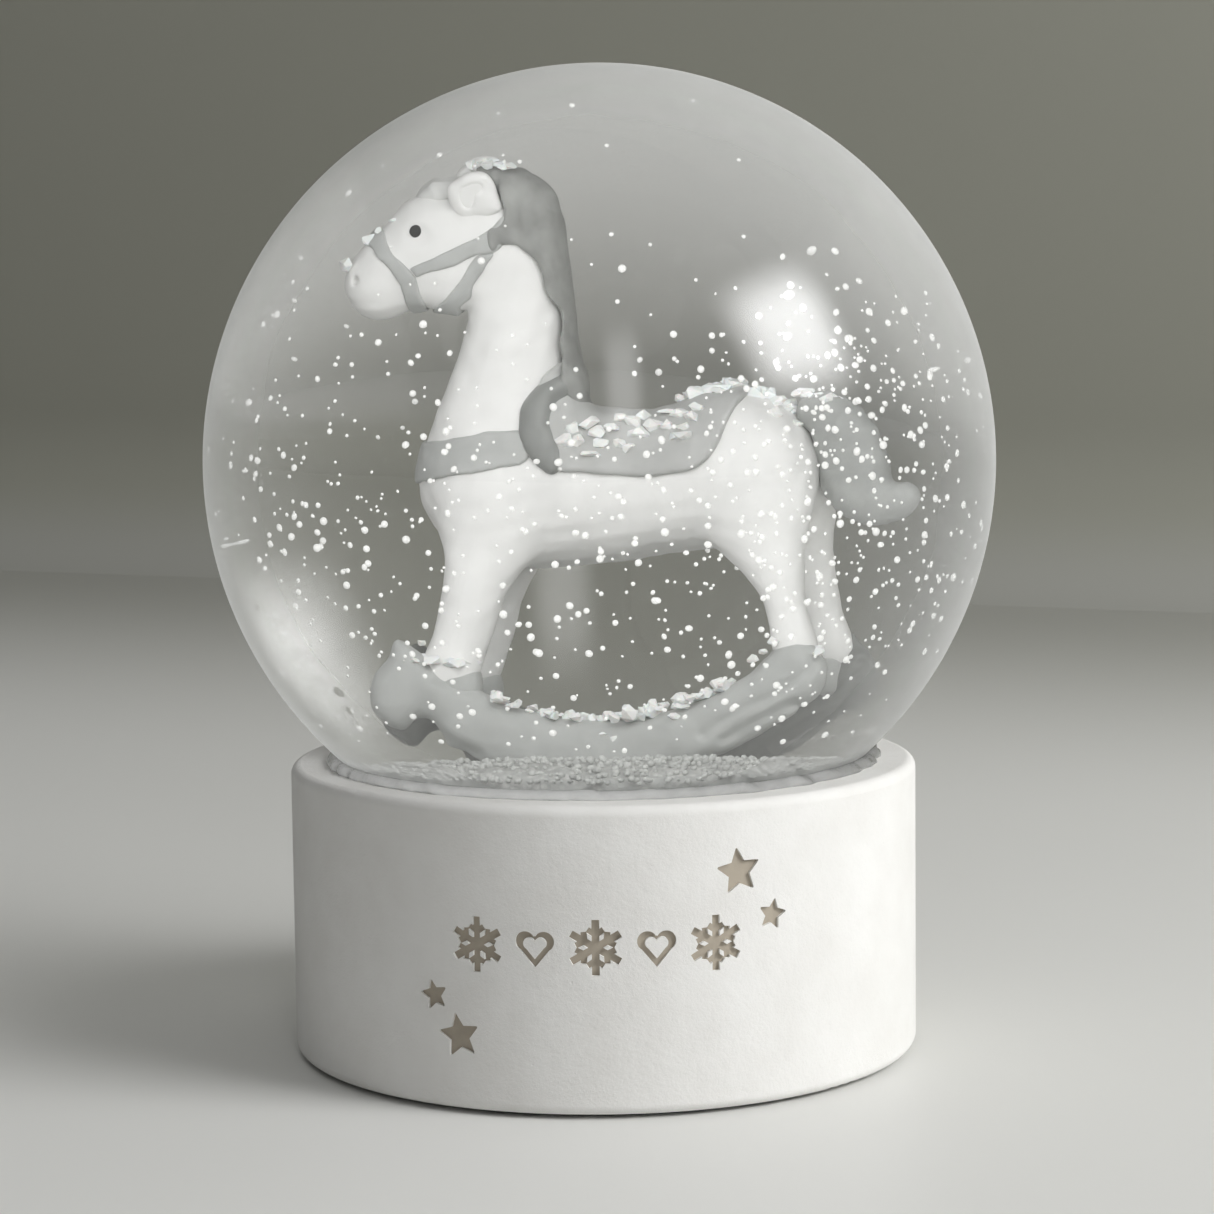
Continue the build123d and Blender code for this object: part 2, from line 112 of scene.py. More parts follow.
def smin(a, b, k):
    """Smooth union: the two shapes melt into each other over about k."""
    h = np.maximum(k - np.abs(a - b), 0) / k
    return np.minimum(a, b) - h * h * (k * 0.25)


def smax(a, b, k):
    return -smin(-a, -b, k)


def span(g, a, b):
    """One tapered stretch between two stations (x, y, z, half height, half width)."""
    ax, ay, az, ah, aw = a
    bx, by, bz, bh, bw = b
    run = np.array((bx - ax, by - ay, bz - az))
    length = max(float(run @ run), 1e-6)
    t = ((g.x - ax) * run[0] + (g.y - ay) * run[1] + (g.z - az) * run[2]) / length
    t = np.clip(t, 0, 1)
    dx, dy, dz = g.x - ax - t * run[0], g.y - ay - t * run[1], g.z - az - t * run[2]
    h, w = ah + t * (bh - ah), aw + t * (bw - aw)
    flat = dx * dx + dz * dz
    deep = dy * dy
    d = np.sqrt(flat + deep)
    q = np.sqrt(flat / (h * h) + deep / (w * w)) + 1e-5
    return d - d / q


def between(p0, p1, p2, p3, t):
    """A point between p1 and p2 on a smooth curve through all four."""
    bend = (2 * p0 - 5 * p1 + 4 * p2 - p3) * t**2 + (3 * p1 - p0 - 3 * p2 + p3) * t**3
    return 0.5 * (2 * p1 + (p2 - p0) * t + bend)


def finer(rows, times, closed=False):
    """More points on a smooth curve through the given ones, which may be a closed loop."""
    rows = [np.array(r, float) for r in rows]
    n, out = len(rows), []
    for k in range(n if closed else n - 1):
        four = [rows[i % n if closed else min(max(i, 0), n - 1)] for i in range(k - 1, k + 3)]
        out += [between(*four, s / times) for s in range(times)]
    return out if closed else out + [rows[-1]]


FAR = 4.0  # what a limb's field holds away from the limb, in mm


def limb(g, rows, k=0.5, times=2):
    """A limb through stations, worked out only near itself."""
    rows = finer(rows, times)
    out = np.full(g.count, FAR, np.float32)
    for a, b in zip(rows, rows[1:]):
        reach = max(a[3], b[3], a[4], b[4]) + 2.2
        low = [min(a[i], b[i]) - reach for i in range(3)]
        high = [max(a[i], b[i]) + reach for i in range(3)]
        small, window = g.part(low, high)
        if min(small.count) < 1:
            continue
        out[window] = smin(out[window], span(small, a, b).astype(np.float32), k)
    return out


def ball(g, x, y, z, rx, ry, rz):
    """An ellipsoid."""
    dx, dy, dz = g.x - x, g.y - y, g.z - z
    d = np.sqrt(dx * dx + dy * dy + dz * dz)
    q = np.sqrt((dx / rx) ** 2 + (dy / ry) ** 2 + (dz / rz) ** 2) + 1e-5
    return d - d / q


def stretch_distance(g, a, b):
    """Distance in the side view from the line a to b, and how far along it the nearest point is."""
    rx, rz = b[0] - a[0], b[1] - a[1]
    t = np.clip(((g.x - a[0]) * rx + (g.z - a[1]) * rz) / (rx * rx + rz * rz), 0, 1)
    return np.hypot(g.x - a[0] - t * rx, g.z - a[1] - t * rz), t


def path_distance(g, points):
    """Distance in the side view from a line through (x, z) points."""
    best = None
    for a, b in zip(points, points[1:]):
        d, _ = stretch_distance(g, a, b)
        best = d if best is None else np.minimum(best, d)
    return best


def curve_points(points):
    """A smooth line through (x, z) points."""
    return [(float(x), float(z)) for x, z in finer(points, 6)]


def outline_distance(g, points):
    """Signed distance in the side view from a closed outline, below 0 inside."""
    loop = list(points) + [points[0]]
    d = path_distance(g, loop)
    inside = np.zeros(d.shape, bool)
    for (ax, az), (bx, bz) in zip(loop, loop[1:]):
        if abs(bz - az) < 1e-9:
            continue
        crosses = (g.z < az) != (g.z < bz)
        at = ax + (g.z - az) * (bx - ax) / (bz - az)
        inside ^= crosses & (g.x < at)
    return np.where(inside, -d, d).astype(np.float32)


def smooth_outline(points, times=4):
    """A closed outline rounded through its points."""
    return [tuple(p) for p in finer(points, times, closed=True)]


def furrow(g, points, width):
    """1 along a line in the side view, falling to 0 over about its width."""
    return np.exp(-((path_distance(g, points) / width) ** 2))


def any_way(rng):
    """A random direction."""
    return Vector((rng.gauss(0, 1), rng.gauss(0, 1), rng.gauss(0, 1))).normalized()


def wobble(g, wave, seed):
    """Soft seeded unevenness between about -1 and 1, with features of the given size."""
    rng, waves = random.Random(seed), 4
    total = np.zeros(g.count, np.float32)
    for _ in range(waves):
        d = any_way(rng)
        f = 2 * math.pi / (wave * rng.uniform(0.75, 1.35))
        total += np.sin(f * (d.x * g.x + d.y * g.y + d.z * g.z) + rng.uniform(0, 6.28))
    return total / math.sqrt(waves)


# ---- fields to meshes

CORNERS = [(i, j, k) for i in (0, 1) for j in (0, 1) for k in (0, 1)]
EDGES = [
    (a, b) for a in range(8) for b in range(a + 1, 8)
    if sum(abs(p - q) for p, q in zip(CORNERS[a], CORNERS[b])) == 1
]


def net(g, field):
    """Surface nets: one point in each lattice cell that the surface crosses."""
    field = field.astype(np.float32)
    inner = [slice(None, -1), slice(1, None)]
    inside = field < 0
    count = np.zeros([n - 1 for n in field.shape], np.int8)
    for c in CORNERS:
        count += inside[tuple(inner[k] for k in c)]
    cells = np.argwhere((count > 0) & (count < 8))
    number = np.full(count.shape, -1, np.int64)
    number[tuple(cells.T)] = np.arange(len(cells))
    at = [field[tuple((cells + c).T)] for c in CORNERS]
    total, hits = np.zeros((len(cells), 3)), np.zeros(len(cells))
    for a, b in EDGES:
        fa, fb = at[a], at[b]
        cross = (fa < 0) != (fb < 0)
        t = np.where(cross, fa / np.where(cross, fa - fb, 1), 0)
        point = np.array(CORNERS[a]) + t[:, None] * (np.array(CORNERS[b]) - CORNERS[a])
        total += np.where(cross[:, None], point, 0)
        hits += cross
    points = g.low + g.step * (cells + total / hits[:, None])
    faces = []
    for axis in range(3):
        u, v = (axis + 1) % 3, (axis + 2) % 3
        low = [slice(1, -1)] * 3
        high = [slice(1, -1)] * 3
        low[axis], high[axis] = slice(0, -1), slice(1, None)
        a, b = inside[tuple(low)], inside[tuple(high)]
        offset = np.ones(3, int)
        offset[axis] = 0
        for mask, flip in ((a & ~b, False), (~a & b, True)):
            e = np.argwhere(mask) + offset
            du, dv = np.eye(3, dtype=int)[u], np.eye(3, dtype=int)[v]
            ring = [e - du - dv, e - dv, e, e - du]
            quad = np.stack([number[tuple(r.T)] for r in ring], 1)
            faces.append(quad[:, ::-1] if flip else quad)
    return points, np.concatenate(faces)


def relaxed(points, faces):
    """Evens out the points, twice moving each halfway to the mean of its neighbours."""
    a = faces.ravel()
    b = np.roll(faces, -1, 1).ravel()
    pairs = np.concatenate([np.stack([a, b], 1), np.stack([b, a], 1)])
    many = np.bincount(pairs[:, 0], minlength=len(points))[:, None]
    for _ in range(2):
        total = np.stack(
            [np.bincount(pairs[:, 0], points[pairs[:, 1], k], len(points)) for k in range(3)], 1
        )
        points = points + 0.5 * (total / np.maximum(many, 1) - points)
    return points


def to_world(points):
    """Figurine millimetres to frame metres."""
    c, s = math.cos(YAW), math.sin(YAW)
    x, y, z = points[:, 0], points[:, 1], points[:, 2]
    return np.stack([x * c - y * s, x * s + y * c, z], 1) * MM


def added(name, data):
    """A new object in the scene."""
    thing = bpy.data.objects.new(name, data)
    bpy.context.scene.collection.objects.link(thing)
    return thing


def mesh_object(name, points, faces, smooth=True):
    """An object from world points in metres and same-sided faces."""
    mesh = bpy.data.meshes.new(name)
    sides = faces.shape[1]
    mesh.vertices.add(len(points))
    mesh.vertices.foreach_set("co", np.ascontiguousarray(points, np.float32).ravel())
    mesh.loops.add(faces.size)
    mesh.loops.foreach_set("vertex_index", faces.astype(np.int32).ravel())
    mesh.polygons.add(len(faces))
    mesh.polygons.foreach_set("loop_start", np.arange(len(faces), dtype=np.int32) * sides)
    mesh.polygons.foreach_set("use_smooth", np.full(len(faces), smooth))
    mesh.update(calc_edges=True)
    mesh.validate()
    return added(name, mesh)


def belongs(thing, material, node, body="globe"):
    """Gives a piece its material, puts it on its body and hides the CAD node that it takes the place of."""
    thing.data.materials.append(material)
    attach(thing, body)
    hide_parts(node)


def carve(name, g, field, material, node):
    """A piece from a field on a lattice."""
    points, faces = net(g, field)
    points = to_world(relaxed(points, faces))
    belongs(mesh_object(name, points, faces), material, node)


def lathe(name, profile, turns):
    """A closed solid of revolution from (radius, height) in mm, ends on the axis or joined."""
    ring = np.arange(turns) * 2 * math.pi / turns
    points, rows = [], []
    for r, z in profile:
        if r < 1e-6:
            rows.append([len(points)] * turns)
            points.append((0.0, 0.0, z))
        else:
            rows.append(list(range(len(points), len(points) + turns)))
            points += [(r * math.cos(t), r * math.sin(t), z) for t in ring]
    mesh = bpy.data.meshes.new(name)
    faces = []
    for low, high in zip(rows, rows[1:]):
        for k in range(turns):
            n = (k + 1) % turns
            corner = [low[k], low[n], high[n], high[k]]
            face = [c for i, c in enumerate(corner) if c != corner[i - 1]]
            if len(face) > 2:
                faces.append(face)
    mesh.from_pydata([(x * MM, y * MM, z * MM) for x, y, z in points], [], faces)
    mesh.update()
    work = bmesh.new()
    work.from_mesh(mesh)
    bmesh.ops.recalc_face_normals(work, faces=work.faces)
    work.to_mesh(mesh)
    work.free()
    mesh.polygons.foreach_set("use_smooth", [True] * len(mesh.polygons))
    return added(name, mesh)


def arc(centre, radius, start, stop, steps):
    """Points (radius, height) on a circle about (0, centre), angles in degrees above the horizontal."""
    out = []
    for k in range(steps + 1):
        a = math.radians(start + (stop - start) * k / steps)
        out.append((max(radius * math.cos(a), 0.0), centre + radius * math.sin(a)))
    return out


# ---- materials


class Nodes:
    """A node tree, with short ways to add to it. Inputs are named or numbered in a dictionary."""

    def __init__(self, tree):
        self.tree = tree

    def fill(self, made, inputs):
        """Gives each input a constant or links another node's output to it."""
        for key, value in inputs.items():
            if isinstance(value, bpy.types.NodeSocket):
                self.tree.links.new(value, made.inputs[key])
            else:
                made.inputs[key].default_value = value

    def node(self, kind, inputs=None, **settings):
        made = self.tree.nodes.new(kind)
        for key, value in settings.items():
            setattr(made, key, value)
        self.fill(made, inputs or {})
        return made

    def maths(self, operation, *values):
        return self.node("ShaderNodeMath", dict(enumerate(values)), operation=operation).outputs[0]

    def mix(self, share, first, second):
        return self.node("ShaderNodeMixShader", {0: share, 1: first, 2: second}).outputs[0]


class Shader(Nodes):
    """A new material."""

    def __init__(self, name):
        self.material = bpy.data.materials.new(name)
        self.material.use_nodes = True
        super().__init__(self.material.node_tree)
        self.tree.nodes.clear()
        self.out = self.node("ShaderNodeOutputMaterial")

    def show(self, surface):
        self.fill(self.out, {"Surface": surface})

    def place(self):
        return self.node("ShaderNodeTexCoord").outputs["Object"]

    def noise(self, size_mm, detail=4.0, rough=0.55):
        """Noise with features of about size_mm."""
        inputs = {"Scale": 1000.0 / size_mm, "Detail": detail, "Roughness": rough, "Vector": self.place()}
        return self.node("ShaderNodeTexNoise", inputs).outputs["Fac"]

    def cells(self, size_mm):
        """How far it is to the middle of the nearest of many cells of about size_mm."""
        inputs = {"Scale": 1000.0 / size_mm, "Vector": self.place()}
        return self.node("ShaderNodeTexVoronoi", inputs, feature="F1").outputs["Distance"]

    def ramp(self, fac, *stops):
        made = self.node("ShaderNodeValToRGB", {"Fac": fac})
        ramp = made.color_ramp
        while len(ramp.elements) < len(stops):
            ramp.elements.new(0.5)
        for element, (at, colour) in zip(ramp.elements, stops):
            element.position = at
            element.color = (*colour, 1)
        return made.outputs["Color"]

    def span(self, fac, low, high):
        """Maps 0..1 to low..high."""
        inputs = {"Value": fac, "To Min": low, "To Max": high}
        return self.node("ShaderNodeMapRange", inputs).outputs["Result"]

    def bump(self, height, depth_mm, strength, under=None):
        """The normal of a raised surface, on top of another one if under is given."""
        inputs = {"Height": height, "Strength": strength, "Distance": depth_mm * MM}
        if under is not None:
            inputs["Normal"] = under
        return self.node("ShaderNodeBump", inputs).outputs["Normal"]

    def principled(self, rough, **values):
        made = self.node("ShaderNodeBsdfPrincipled", {"Roughness": rough})
        self.fill(made, {key.replace("_", " "): value for key, value in values.items()})
        self.bsdf = made.outputs["BSDF"]
        self.show(self.bsdf)


def paint(name, colour, spread, rough, grain=0.012):
    """Hand-brushed paint on cast resin: uneven coverage, faint brush and casting marks."""
    s = Shader(name)
    dark = [c * (1 - spread) for c in colour]
    light = [min(c * (1 + spread * 0.6), 0.95) for c in colour]
    casting = s.bump(s.noise(1.3, 3.0), grain * 5, 0.5)
    s.principled(
        rough,
        Base_Color=s.ramp(s.noise(1.7, 5.0), (0.3, dark), (0.55, colour), (0.75, light)),
        Roughness=s.span(s.noise(0.9), rough - 0.1, rough + 0.12),
        Normal=s.bump(s.noise(0.35, 4.0), grain, 0.6, casting),
    )
    return s.material


def plaster():
    """Cast white plaster: fine tooth, pinholes, and faint cloudy tone."""
    s = Shader("cast_plaster")
    outward = s.node("ShaderNodeMapRange", {"Value": s.cells(0.85), "From Max": 0.16}).outputs["Result"]
    some = s.maths("GREATER_THAN", s.noise(1.8, 2.0), 0.68)
    pinholes = s.maths("MULTIPLY", s.maths("SUBTRACT", 1.0, outward), some)
    tooth = s.bump(s.noise(0.22, 5.0, 0.7), 0.05, 0.7)
    grains = s.bump(s.noise(0.75, 3.0), 0.06, 0.6, tooth)
    wavy = s.bump(s.noise(3.2, 2.0), 0.14, 0.4, grains)
    s.principled(
        0.82,
        Base_Color=s.ramp(s.noise(6.0, 6.0), (0.3, (0.80, 0.79, 0.765)), (0.7, (0.86, 0.855, 0.835))),
        Roughness=s.span(s.noise(2.0), 0.72, 0.92),
        Normal=s.bump(s.maths("SUBTRACT", 1.0, pinholes), 0.07, 0.6, wavy),
    )
    return s.material


def clear(name, ior, veil=0.0, reflects=True):
    """A clear refracting surface that lamps light through, with a faint bloom if veil is set."""
    s = Shader(name)
    kind = "ShaderNodeBsdfGlass" if reflects else "ShaderNodeBsdfRefraction"
    surface = s.node(kind, {"IOR": ior, "Roughness": 0.0, "Color": (1, 1, 1, 1)}).outputs[0]
    if veil:
        pale = {"Color": (0.9, 0.91, 0.9, 1)}
        near_side = s.node("ShaderNodeBsdfDiffuse", pale).outputs[0]
        far_side = s.node("ShaderNodeBsdfTranslucent", pale).outputs[0]
        facing = s.node("ShaderNodeLayerWeight", {"Blend": 0.5}).outputs["Facing"]
        amount = s.maths("MULTIPLY_ADD", s.maths("POWER", facing, 1.9), 0.88, veil)
        smear = s.span(s.noise(9.0, 4.0), 0.85, 1.15)
        bloom = s.mix(0.5, near_side, far_side)
        surface = s.mix(s.maths("MULTIPLY", amount, smear), surface, bloom)
    shade = 0.82 if veil else 1.0
    open_way = s.node("ShaderNodeBsdfTransparent", {"Color": (shade, shade, shade, 1)}).outputs[0]
    path = s.node("ShaderNodeLightPath")
    straight = s.maths("MAXIMUM", path.outputs["Is Shadow Ray"], path.outputs["Is Diffuse Ray"])
    s.show(s.mix(straight, surface, open_way))
    return s.material


def mottled(name, rough, tone, dark, light, tooth, depth_mm, strength, **values):
    """A cloudy tone and a fine tooth. tone and tooth hold the settings of their noise."""
    s = Shader(name)
    s.principled(
        rough,
        Base_Color=s.ramp(s.noise(*tone), (0.3, dark), (0.7, light)),
        Normal=s.bump(s.noise(*tooth), depth_mm, strength),
        **values,
    )
    return s


def sealant():
    """Cloudy clear silicone with trapped ripples."""
    tones = (0.84, 0.85, 0.83), (0.97, 0.97, 0.96)
    inside = {"Transmission_Weight": 0.6, "IOR": 1.41}
    return mottled("clear_sealant", 0.16, (1.5,), *tones, (1.1,), 0.3, 0.6, **inside).material


def felt():
    tones = (0.05, 0.05, 0.05), (0.12, 0.12, 0.12)
    tooth = (0.18, 6.0, 0.8)
    return mottled("felt", 0.95, (0.5, 6.0), *tones, tooth, 0.12, 0.9, Sheen_Weight=0.4).material


def rubber():
    tones = (0.5, 0.5, 0.48), (0.6, 0.6, 0.58)
    return mottled("stopper_rubber", 0.6, (2.0,), *tones, (0.4, 5.0), 0.05, 0.5).material


def glued_snow():
    """White plastic snow, a little translucent."""
    tones = (0.80, 0.80, 0.78), (0.92, 0.92, 0.90)
    inside = {"Subsurface_Weight": 0.15, "Subsurface_Scale": 0.0006}
    return mottled("glued_snow", 0.45, (0.8,), *tones, (0.15, 3.0), 0.02, 0.5, **inside).material


def drifting_snow():
    """Thin white flakes with a painted glow: they emit a little light, which stands in for the light that
    reaches them from all round through the ball.
    """
    tones = (0.86, 0.86, 0.84), (0.95, 0.95, 0.93)
    # the emission is painted light
    painted_glow = {"Emission_Color": (1, 1, 0.98, 1), "Emission_Strength": 0.22}
    s = mottled("drifting_snow", 0.6, (1.5,), *tones, (0.2, 3.0), 0.02, 0.4, **painted_glow)
    thinness = s.span(s.noise(2.5), 0.1, 0.5)
    s.show(s.mix(thinness, s.bsdf, s.node("ShaderNodeBsdfTransparent").outputs[0]))
    return s.material


def speckled():
    """Grey ground sunk under white flakes."""
    s = Shader("speckled_ground")
    flecks = s.cells(0.75)
    tone = s.ramp(flecks, (0.2, (0.68, 0.68, 0.66)), (0.45, (0.37, 0.38, 0.365)))
    cloud = s.ramp(s.noise(3.0, 5.0), (0.35, (0.34, 0.35, 0.335)), (0.7, (0.52, 0.52, 0.50)))
    mixed = s.node("ShaderNodeMix", {"Factor": s.noise(2.2, 3.0), 6: cloud, 7: tone}, data_type="RGBA")
    s.principled(0.6, Base_Color=mixed.outputs[2], Normal=s.bump(flecks, 0.2, 0.8))
    return s.material


WHITE = paint("figure_white_paint", (0.84, 0.84, 0.82), 0.04, 0.42)
GREY = paint("figure_grey_paint", (0.43, 0.44, 0.425), 0.10, 0.45)
STRAP_GREY = paint("strap_grey_paint", (0.48, 0.49, 0.475), 0.08, 0.45)
# the roll's grey is darker than the saddle's: a little of that is its own paint, most is painted shade
ROLL_GREY_AND_SHADE = paint("roll_grey_paint", (0.27, 0.277, 0.265), 0.1, 0.45)
SADDLE_GREY = paint("saddle_grey_paint", (0.49, 0.495, 0.48), 0.10, 0.45)
TAIL_GREY = paint("tail_grey_paint", (0.36, 0.37, 0.355), 0.12, 0.5)
# a darker copy of the rocker grey for the far rocker: painted shade
FAR_ROCKER_SHADE_GREY = paint("figure_slate_paint", (0.125, 0.13, 0.12), 0.25, 0.5)
DARK = paint("figure_dark_grey_paint", (0.30, 0.305, 0.29), 0.26, 0.5)
FORELOCK_GREY = paint("forelock_grey_paint", (0.70, 0.705, 0.685), 0.12, 0.5)
BLACK = paint("eye_black_paint", (0.012, 0.012, 0.012), 0.2, 0.2, 0.004)
TAUPE = paint("engraving_taupe_paint", (0.42, 0.37, 0.30), 0.1, 0.7)
PLASTER = plaster()
GLASS = clear("clear_glass", 1.5, veil=0.035)
GLASS_INSIDE = clear("clear_glass_inside", 1.5, reflects=False)
LIQUID = clear("clear_liquid", 1.333, reflects=False)
CHIP = glued_snow()
FLAKE = drifting_snow()
SUNK = paint("sunk_flake_grey", (0.54, 0.55, 0.53), 0.3, 0.6)
SPECKLE = speckled()

# ---- the horse

TRUNK = (
    (-7.4, 0, 47.3, 3.6, 3.1),
    (-5.2, 0, 47.0, 4.6, 4.0),
    (-1.0, 0, 46.9, 4.5, 4.5),
    (4.0, 0, 47.15, 4.05, 4.5),
    (7.5, 0, 47.8, 4.3, 4.7),
    (9.4, 0, 48.1, 4.85, 4.5),
)
NECK = (
    (-6.0, 0, 48.5, 4.1, 3.6),
    (-5.9, 0, 51.0, 3.9, 3.3),
    (-5.4, 0, 54.5, 3.15, 2.75),
    (-5.1, 0, 58.0, 2.75, 2.4),
    (-5.6, 0, 61.0, 2.7, 2.3),
    (-6.6, 0, 62.6, 2.4, 2.1),
)
HEAD = (
    (-6.9, 0, 62.6, 2.6, 2.2),
    (-9.2, 0, 61.7, 3.2, 2.5),
    (-11.4, 0, 60.9, 2.7, 2.05),
    (-12.9, 0, 60.05, 2.15, 1.7),
    (-13.8, 0, 59.4, 1.8, 1.55),
)
FRONT_LEG = (
    (-6.6, 2.6, 45.4, 2.6, 1.7),
    (-6.7, 3.0, 43.4, 2.5, 1.8),
    (-7.3, 3.3, 41.0, 1.9, 1.65),
    (-8.0, 3.5, 38.5, 1.75, 1.5),
    (-8.6, 3.7, 36.6, 1.7, 1.42),
    (-8.9, 3.8, 35.6, 1.75, 1.45),
)
REAR_LEG = (
    (11.0, 2.6, 45.4, 3.0, 1.9),
    (11.8, 3.0, 43.0, 2.2, 1.8),
    (12.6, 3.3, 41.0, 1.5, 1.55),
    (13.0, 3.5, 39.3, 1.22, 1.4),
    (13.45, 3.7, 37.5, 1.3, 1.4),
    (13.7, 3.8, 36.6, 1.45, 1.45),
)
MAIN = Grid((-17.5, -6.6, 33.0), (16.4, 6.6, 68.6), VOXEL)


def sided(rows, side):
    return [(x, side * y, z, h, w) for x, y, z, h, w in rows]


EAR = (
    (-8.95, 65.0), (-9.05, 65.95), (-8.45, 66.6), (-7.9, 66.98), (-7.15, 67.1), (-6.55, 66.9),
    (-6.2, 66.3), (-6.0, 65.7), (-5.6, 64.7), (-6.1, 64.2), (-7.2, 63.9), (-8.2, 64.05),
)


def ear_plate(g, side):
    """A thick rounded lobe that leans out from the poll."""
    lean = 1.95 + 0.12 * (g.z - 65.3)
    thick = np.abs(g.y * side - lean) - 0.62
    return smax(outline_distance(g, smooth_outline(EAR, 3)) - 0.08, thick, 0.9)


def horse_field(g):
    """The white casting: trunk, neck, head and four legs in one skin."""
    body = smin(limb(g, TRUNK, 0.8), limb(g, NECK, 0.8), 2.2)
    head = limb(g, HEAD, 0.6)
    for side in (-1, 1):
        head = smin(head, ball(g, -9.0, side * 0.9, 60.3, 2.3, 1.75, 2.35), 0.7)
    head = smin(head, ball(g, -10.4, 0, 62.95, 2.3, 1.9, 2.15), 0.9)
    for side in (-1, 1):
        head = smin(head, ear_plate(g, side) + 0.12, 0.7)
    head = smin(head, ball(g, -13.7, 0, 59.1, 1.65, 1.7, 1.75), 0.8)
    body = smin(body, head, 1.0)
    for side in (-1, 1):
        body = smin(body, ball(g, -6.6, side * 2.3, 46.2, 3.0, 2.3, 3.4), 1.6)
        body = smin(body, ball(g, 10.8, side * 2.3, 46.6, 3.3, 2.6, 4.4), 1.8)
        body = smin(body, limb(g, sided(FRONT_LEG, side), 0.4), 1.3)
        body = smin(body, limb(g, sided(REAR_LEG, side), 0.4), 1.3)
        nostril = ball(g, -14.85, side * 1.05, 59.8, 0.28, 0.32, 0.24)
        body = smax(body, -nostril, 0.25)
        socket = ball(g, -11.2, side * 2.5, 63.05, 0.9, 0.42, 0.75)
        body = smax(body, -socket, 0.5)
    mouth = [(-15.9, 58.55), (-14.7, 58.3), (-13.6, 58.5)]
    jaw = curve_points([(-7.6, 61.8), (-7.4, 60.0), (-8.0, 58.2)])
    muscle = curve_points([(-4.4, 60.4), (-6.0, 58.0), (-7.0, 55.4)])
    for line, width, depth in ((mouth, 0.2, 0.06), (jaw, 0.5, 0.14), (muscle, 0.55, 0.10)):
        body = body + depth * furrow(g, line, width)
    return body + 0.05 * wobble(g, 4.0, 3) + 0.02 * wobble(g, 1.3, 4)


HORSE = horse_field(MAIN)


def near(low, high):
    """A smaller lattice and the horse's field on it."""
    g, window = MAIN.part(low, high)
    return g, HORSE[window]


carve("horse_body_cast", MAIN, HORSE, WHITE, "horse_body")


def shell(body, out, deep=0.5):
    """The layer from deep under the horse's skin to out above it."""
    return np.maximum(body - out, -(body + deep))


SADDLE = (
    (-2.0, 55.0), (-3.6, 52.8), (-4.1, 50.6), (-3.7, 49.3), (-2.3, 48.4), (0.5, 48.15),
    (3.7, 47.95), (6.3, 48.2), (7.9, 48.8), (8.7, 49.9), (9.2, 51.6), (9.9, 54.8), (4.0, 57.0),
)
ROLL = (
    (-1.7, 54.5), (-3.05, 53.8), (-4.2, 52.6), (-4.4, 51.2), (-4.05, 49.8), (-2.5, 48.1), (-1.4, 48.6),
    (-1.55, 49.9), (-2.1, 51.0), (-2.1, 52.1), (-1.3, 52.9), (-0.9, 53.6),
)


def saddle_pieces():
    """Painted saddle with a raised roll round its front."""
    g, body = near((-6.5, -6.6, 45.5), (11.0, 6.6, 57.0))
    edge = outline_distance(g, smooth_outline(SADDLE))
    seat = smax(shell(body, 0.5), edge, 0.4)
    seat = seat + 0.03 * wobble(g, 2.2, 8)
    carve("saddle_paint", g, seat, SADDLE_GREY, "saddle")
    across = outline_distance(g, smooth_outline(ROLL, 3))
    roll = smax(across, body - 0.85, 1.1)
    roll = np.maximum(roll, -(body + 0.5)) + 0.03 * wobble(g, 1.6, 9)
    # the roll's darker grey is mostly painted shade
    carve("saddle_roll_paint", g, roll, ROLL_GREY_AND_SHADE, "saddle_roll")


def painted(name, node, outline, low, high, out, seed, cuts=(), path=None, half=0.0):
    """Raised paint on the skin, within a side-view outline or along a side-view path."""
    g, body = near(low, high)
    edge = outline_distance(g, outline) if outline else path_distance(g, curve_points(path)) - half
    edge = edge + 0.06 * wobble(g, 1.6, seed)
    band = smax(shell(body, out, 0.35), edge, 0.12)
    for other in cuts:
        band = np.maximum(band, -(outline_distance(g, other) + 0.02))
    band = band + 0.015 * wobble(g, 0.9, seed + 1)
    carve(name, g, band, STRAP_GREY, node)


CHEST = ((-12.2, 48.3), (-10.2, 48.8), (-7.6, 49.3), (-4.6, 49.75))
NOSE = (
    (-14.6, 63.2), (-13.3, 62.9), (-12.5, 61.6), (-11.55, 60.8), (-11.0, 60.25), (-10.8, 59.0),
    (-10.5, 57.9), (-10.4, 56.4), (-11.6, 56.4), (-11.6, 57.6), (-11.85, 58.7), (-12.1, 59.7),
    (-12.6, 60.5), (-13.2, 61.2), (-14.8, 62.3),
)
CHEEK = (
    (-11.6, 60.8), (-10.2, 61.45), (-8.3, 62.25), (-7.15, 62.85), (-6.2, 63.5), (-5.4, 64.4),
    (-4.9, 63.6), (-5.6, 62.2), (-6.1, 61.85), (-7.15, 61.7), (-8.3, 61.15), (-9.95, 60.65), (-11.0, 60.25),
)
THROAT = (
    (-6.9, 61.85), (-7.3, 61.6), (-7.9, 60.5), (-9.05, 59.0), (-9.75, 58.3), (-10.6, 57.8), (-10.6, 56.2),
    (-8.8, 56.4), (-8.4, 58.2), (-7.65, 58.95), (-7.2, 59.95), (-6.6, 61.0), (-6.0, 61.9),
)


def harness():
    """Straps painted on a raised edge."""
    painted("chest_strap_paint", "chest_strap", None, (-13, -5.5, 45.5), (-3.2, 5.5, 53), 0.25, 21,
            path=CHEST, half=1.15)
    painted("noseband_paint", "noseband", NOSE, (-16, -3.2, 55.2), (-9.4, 3.2, 64.4), 0.22, 23)
    painted("cheek_strap_paint", "cheek_straps", CHEEK, (-12.4, -3.5, 58.8), (-4.4, 3.5, 65.2), 0.2, 25,
            [NOSE])
    painted("throat_latch_paint", "throat_latch", THROAT, (-11.4, -3.5, 55.2), (-5.0, 3.5, 63), 0.2, 27,
            [NOSE, CHEEK])


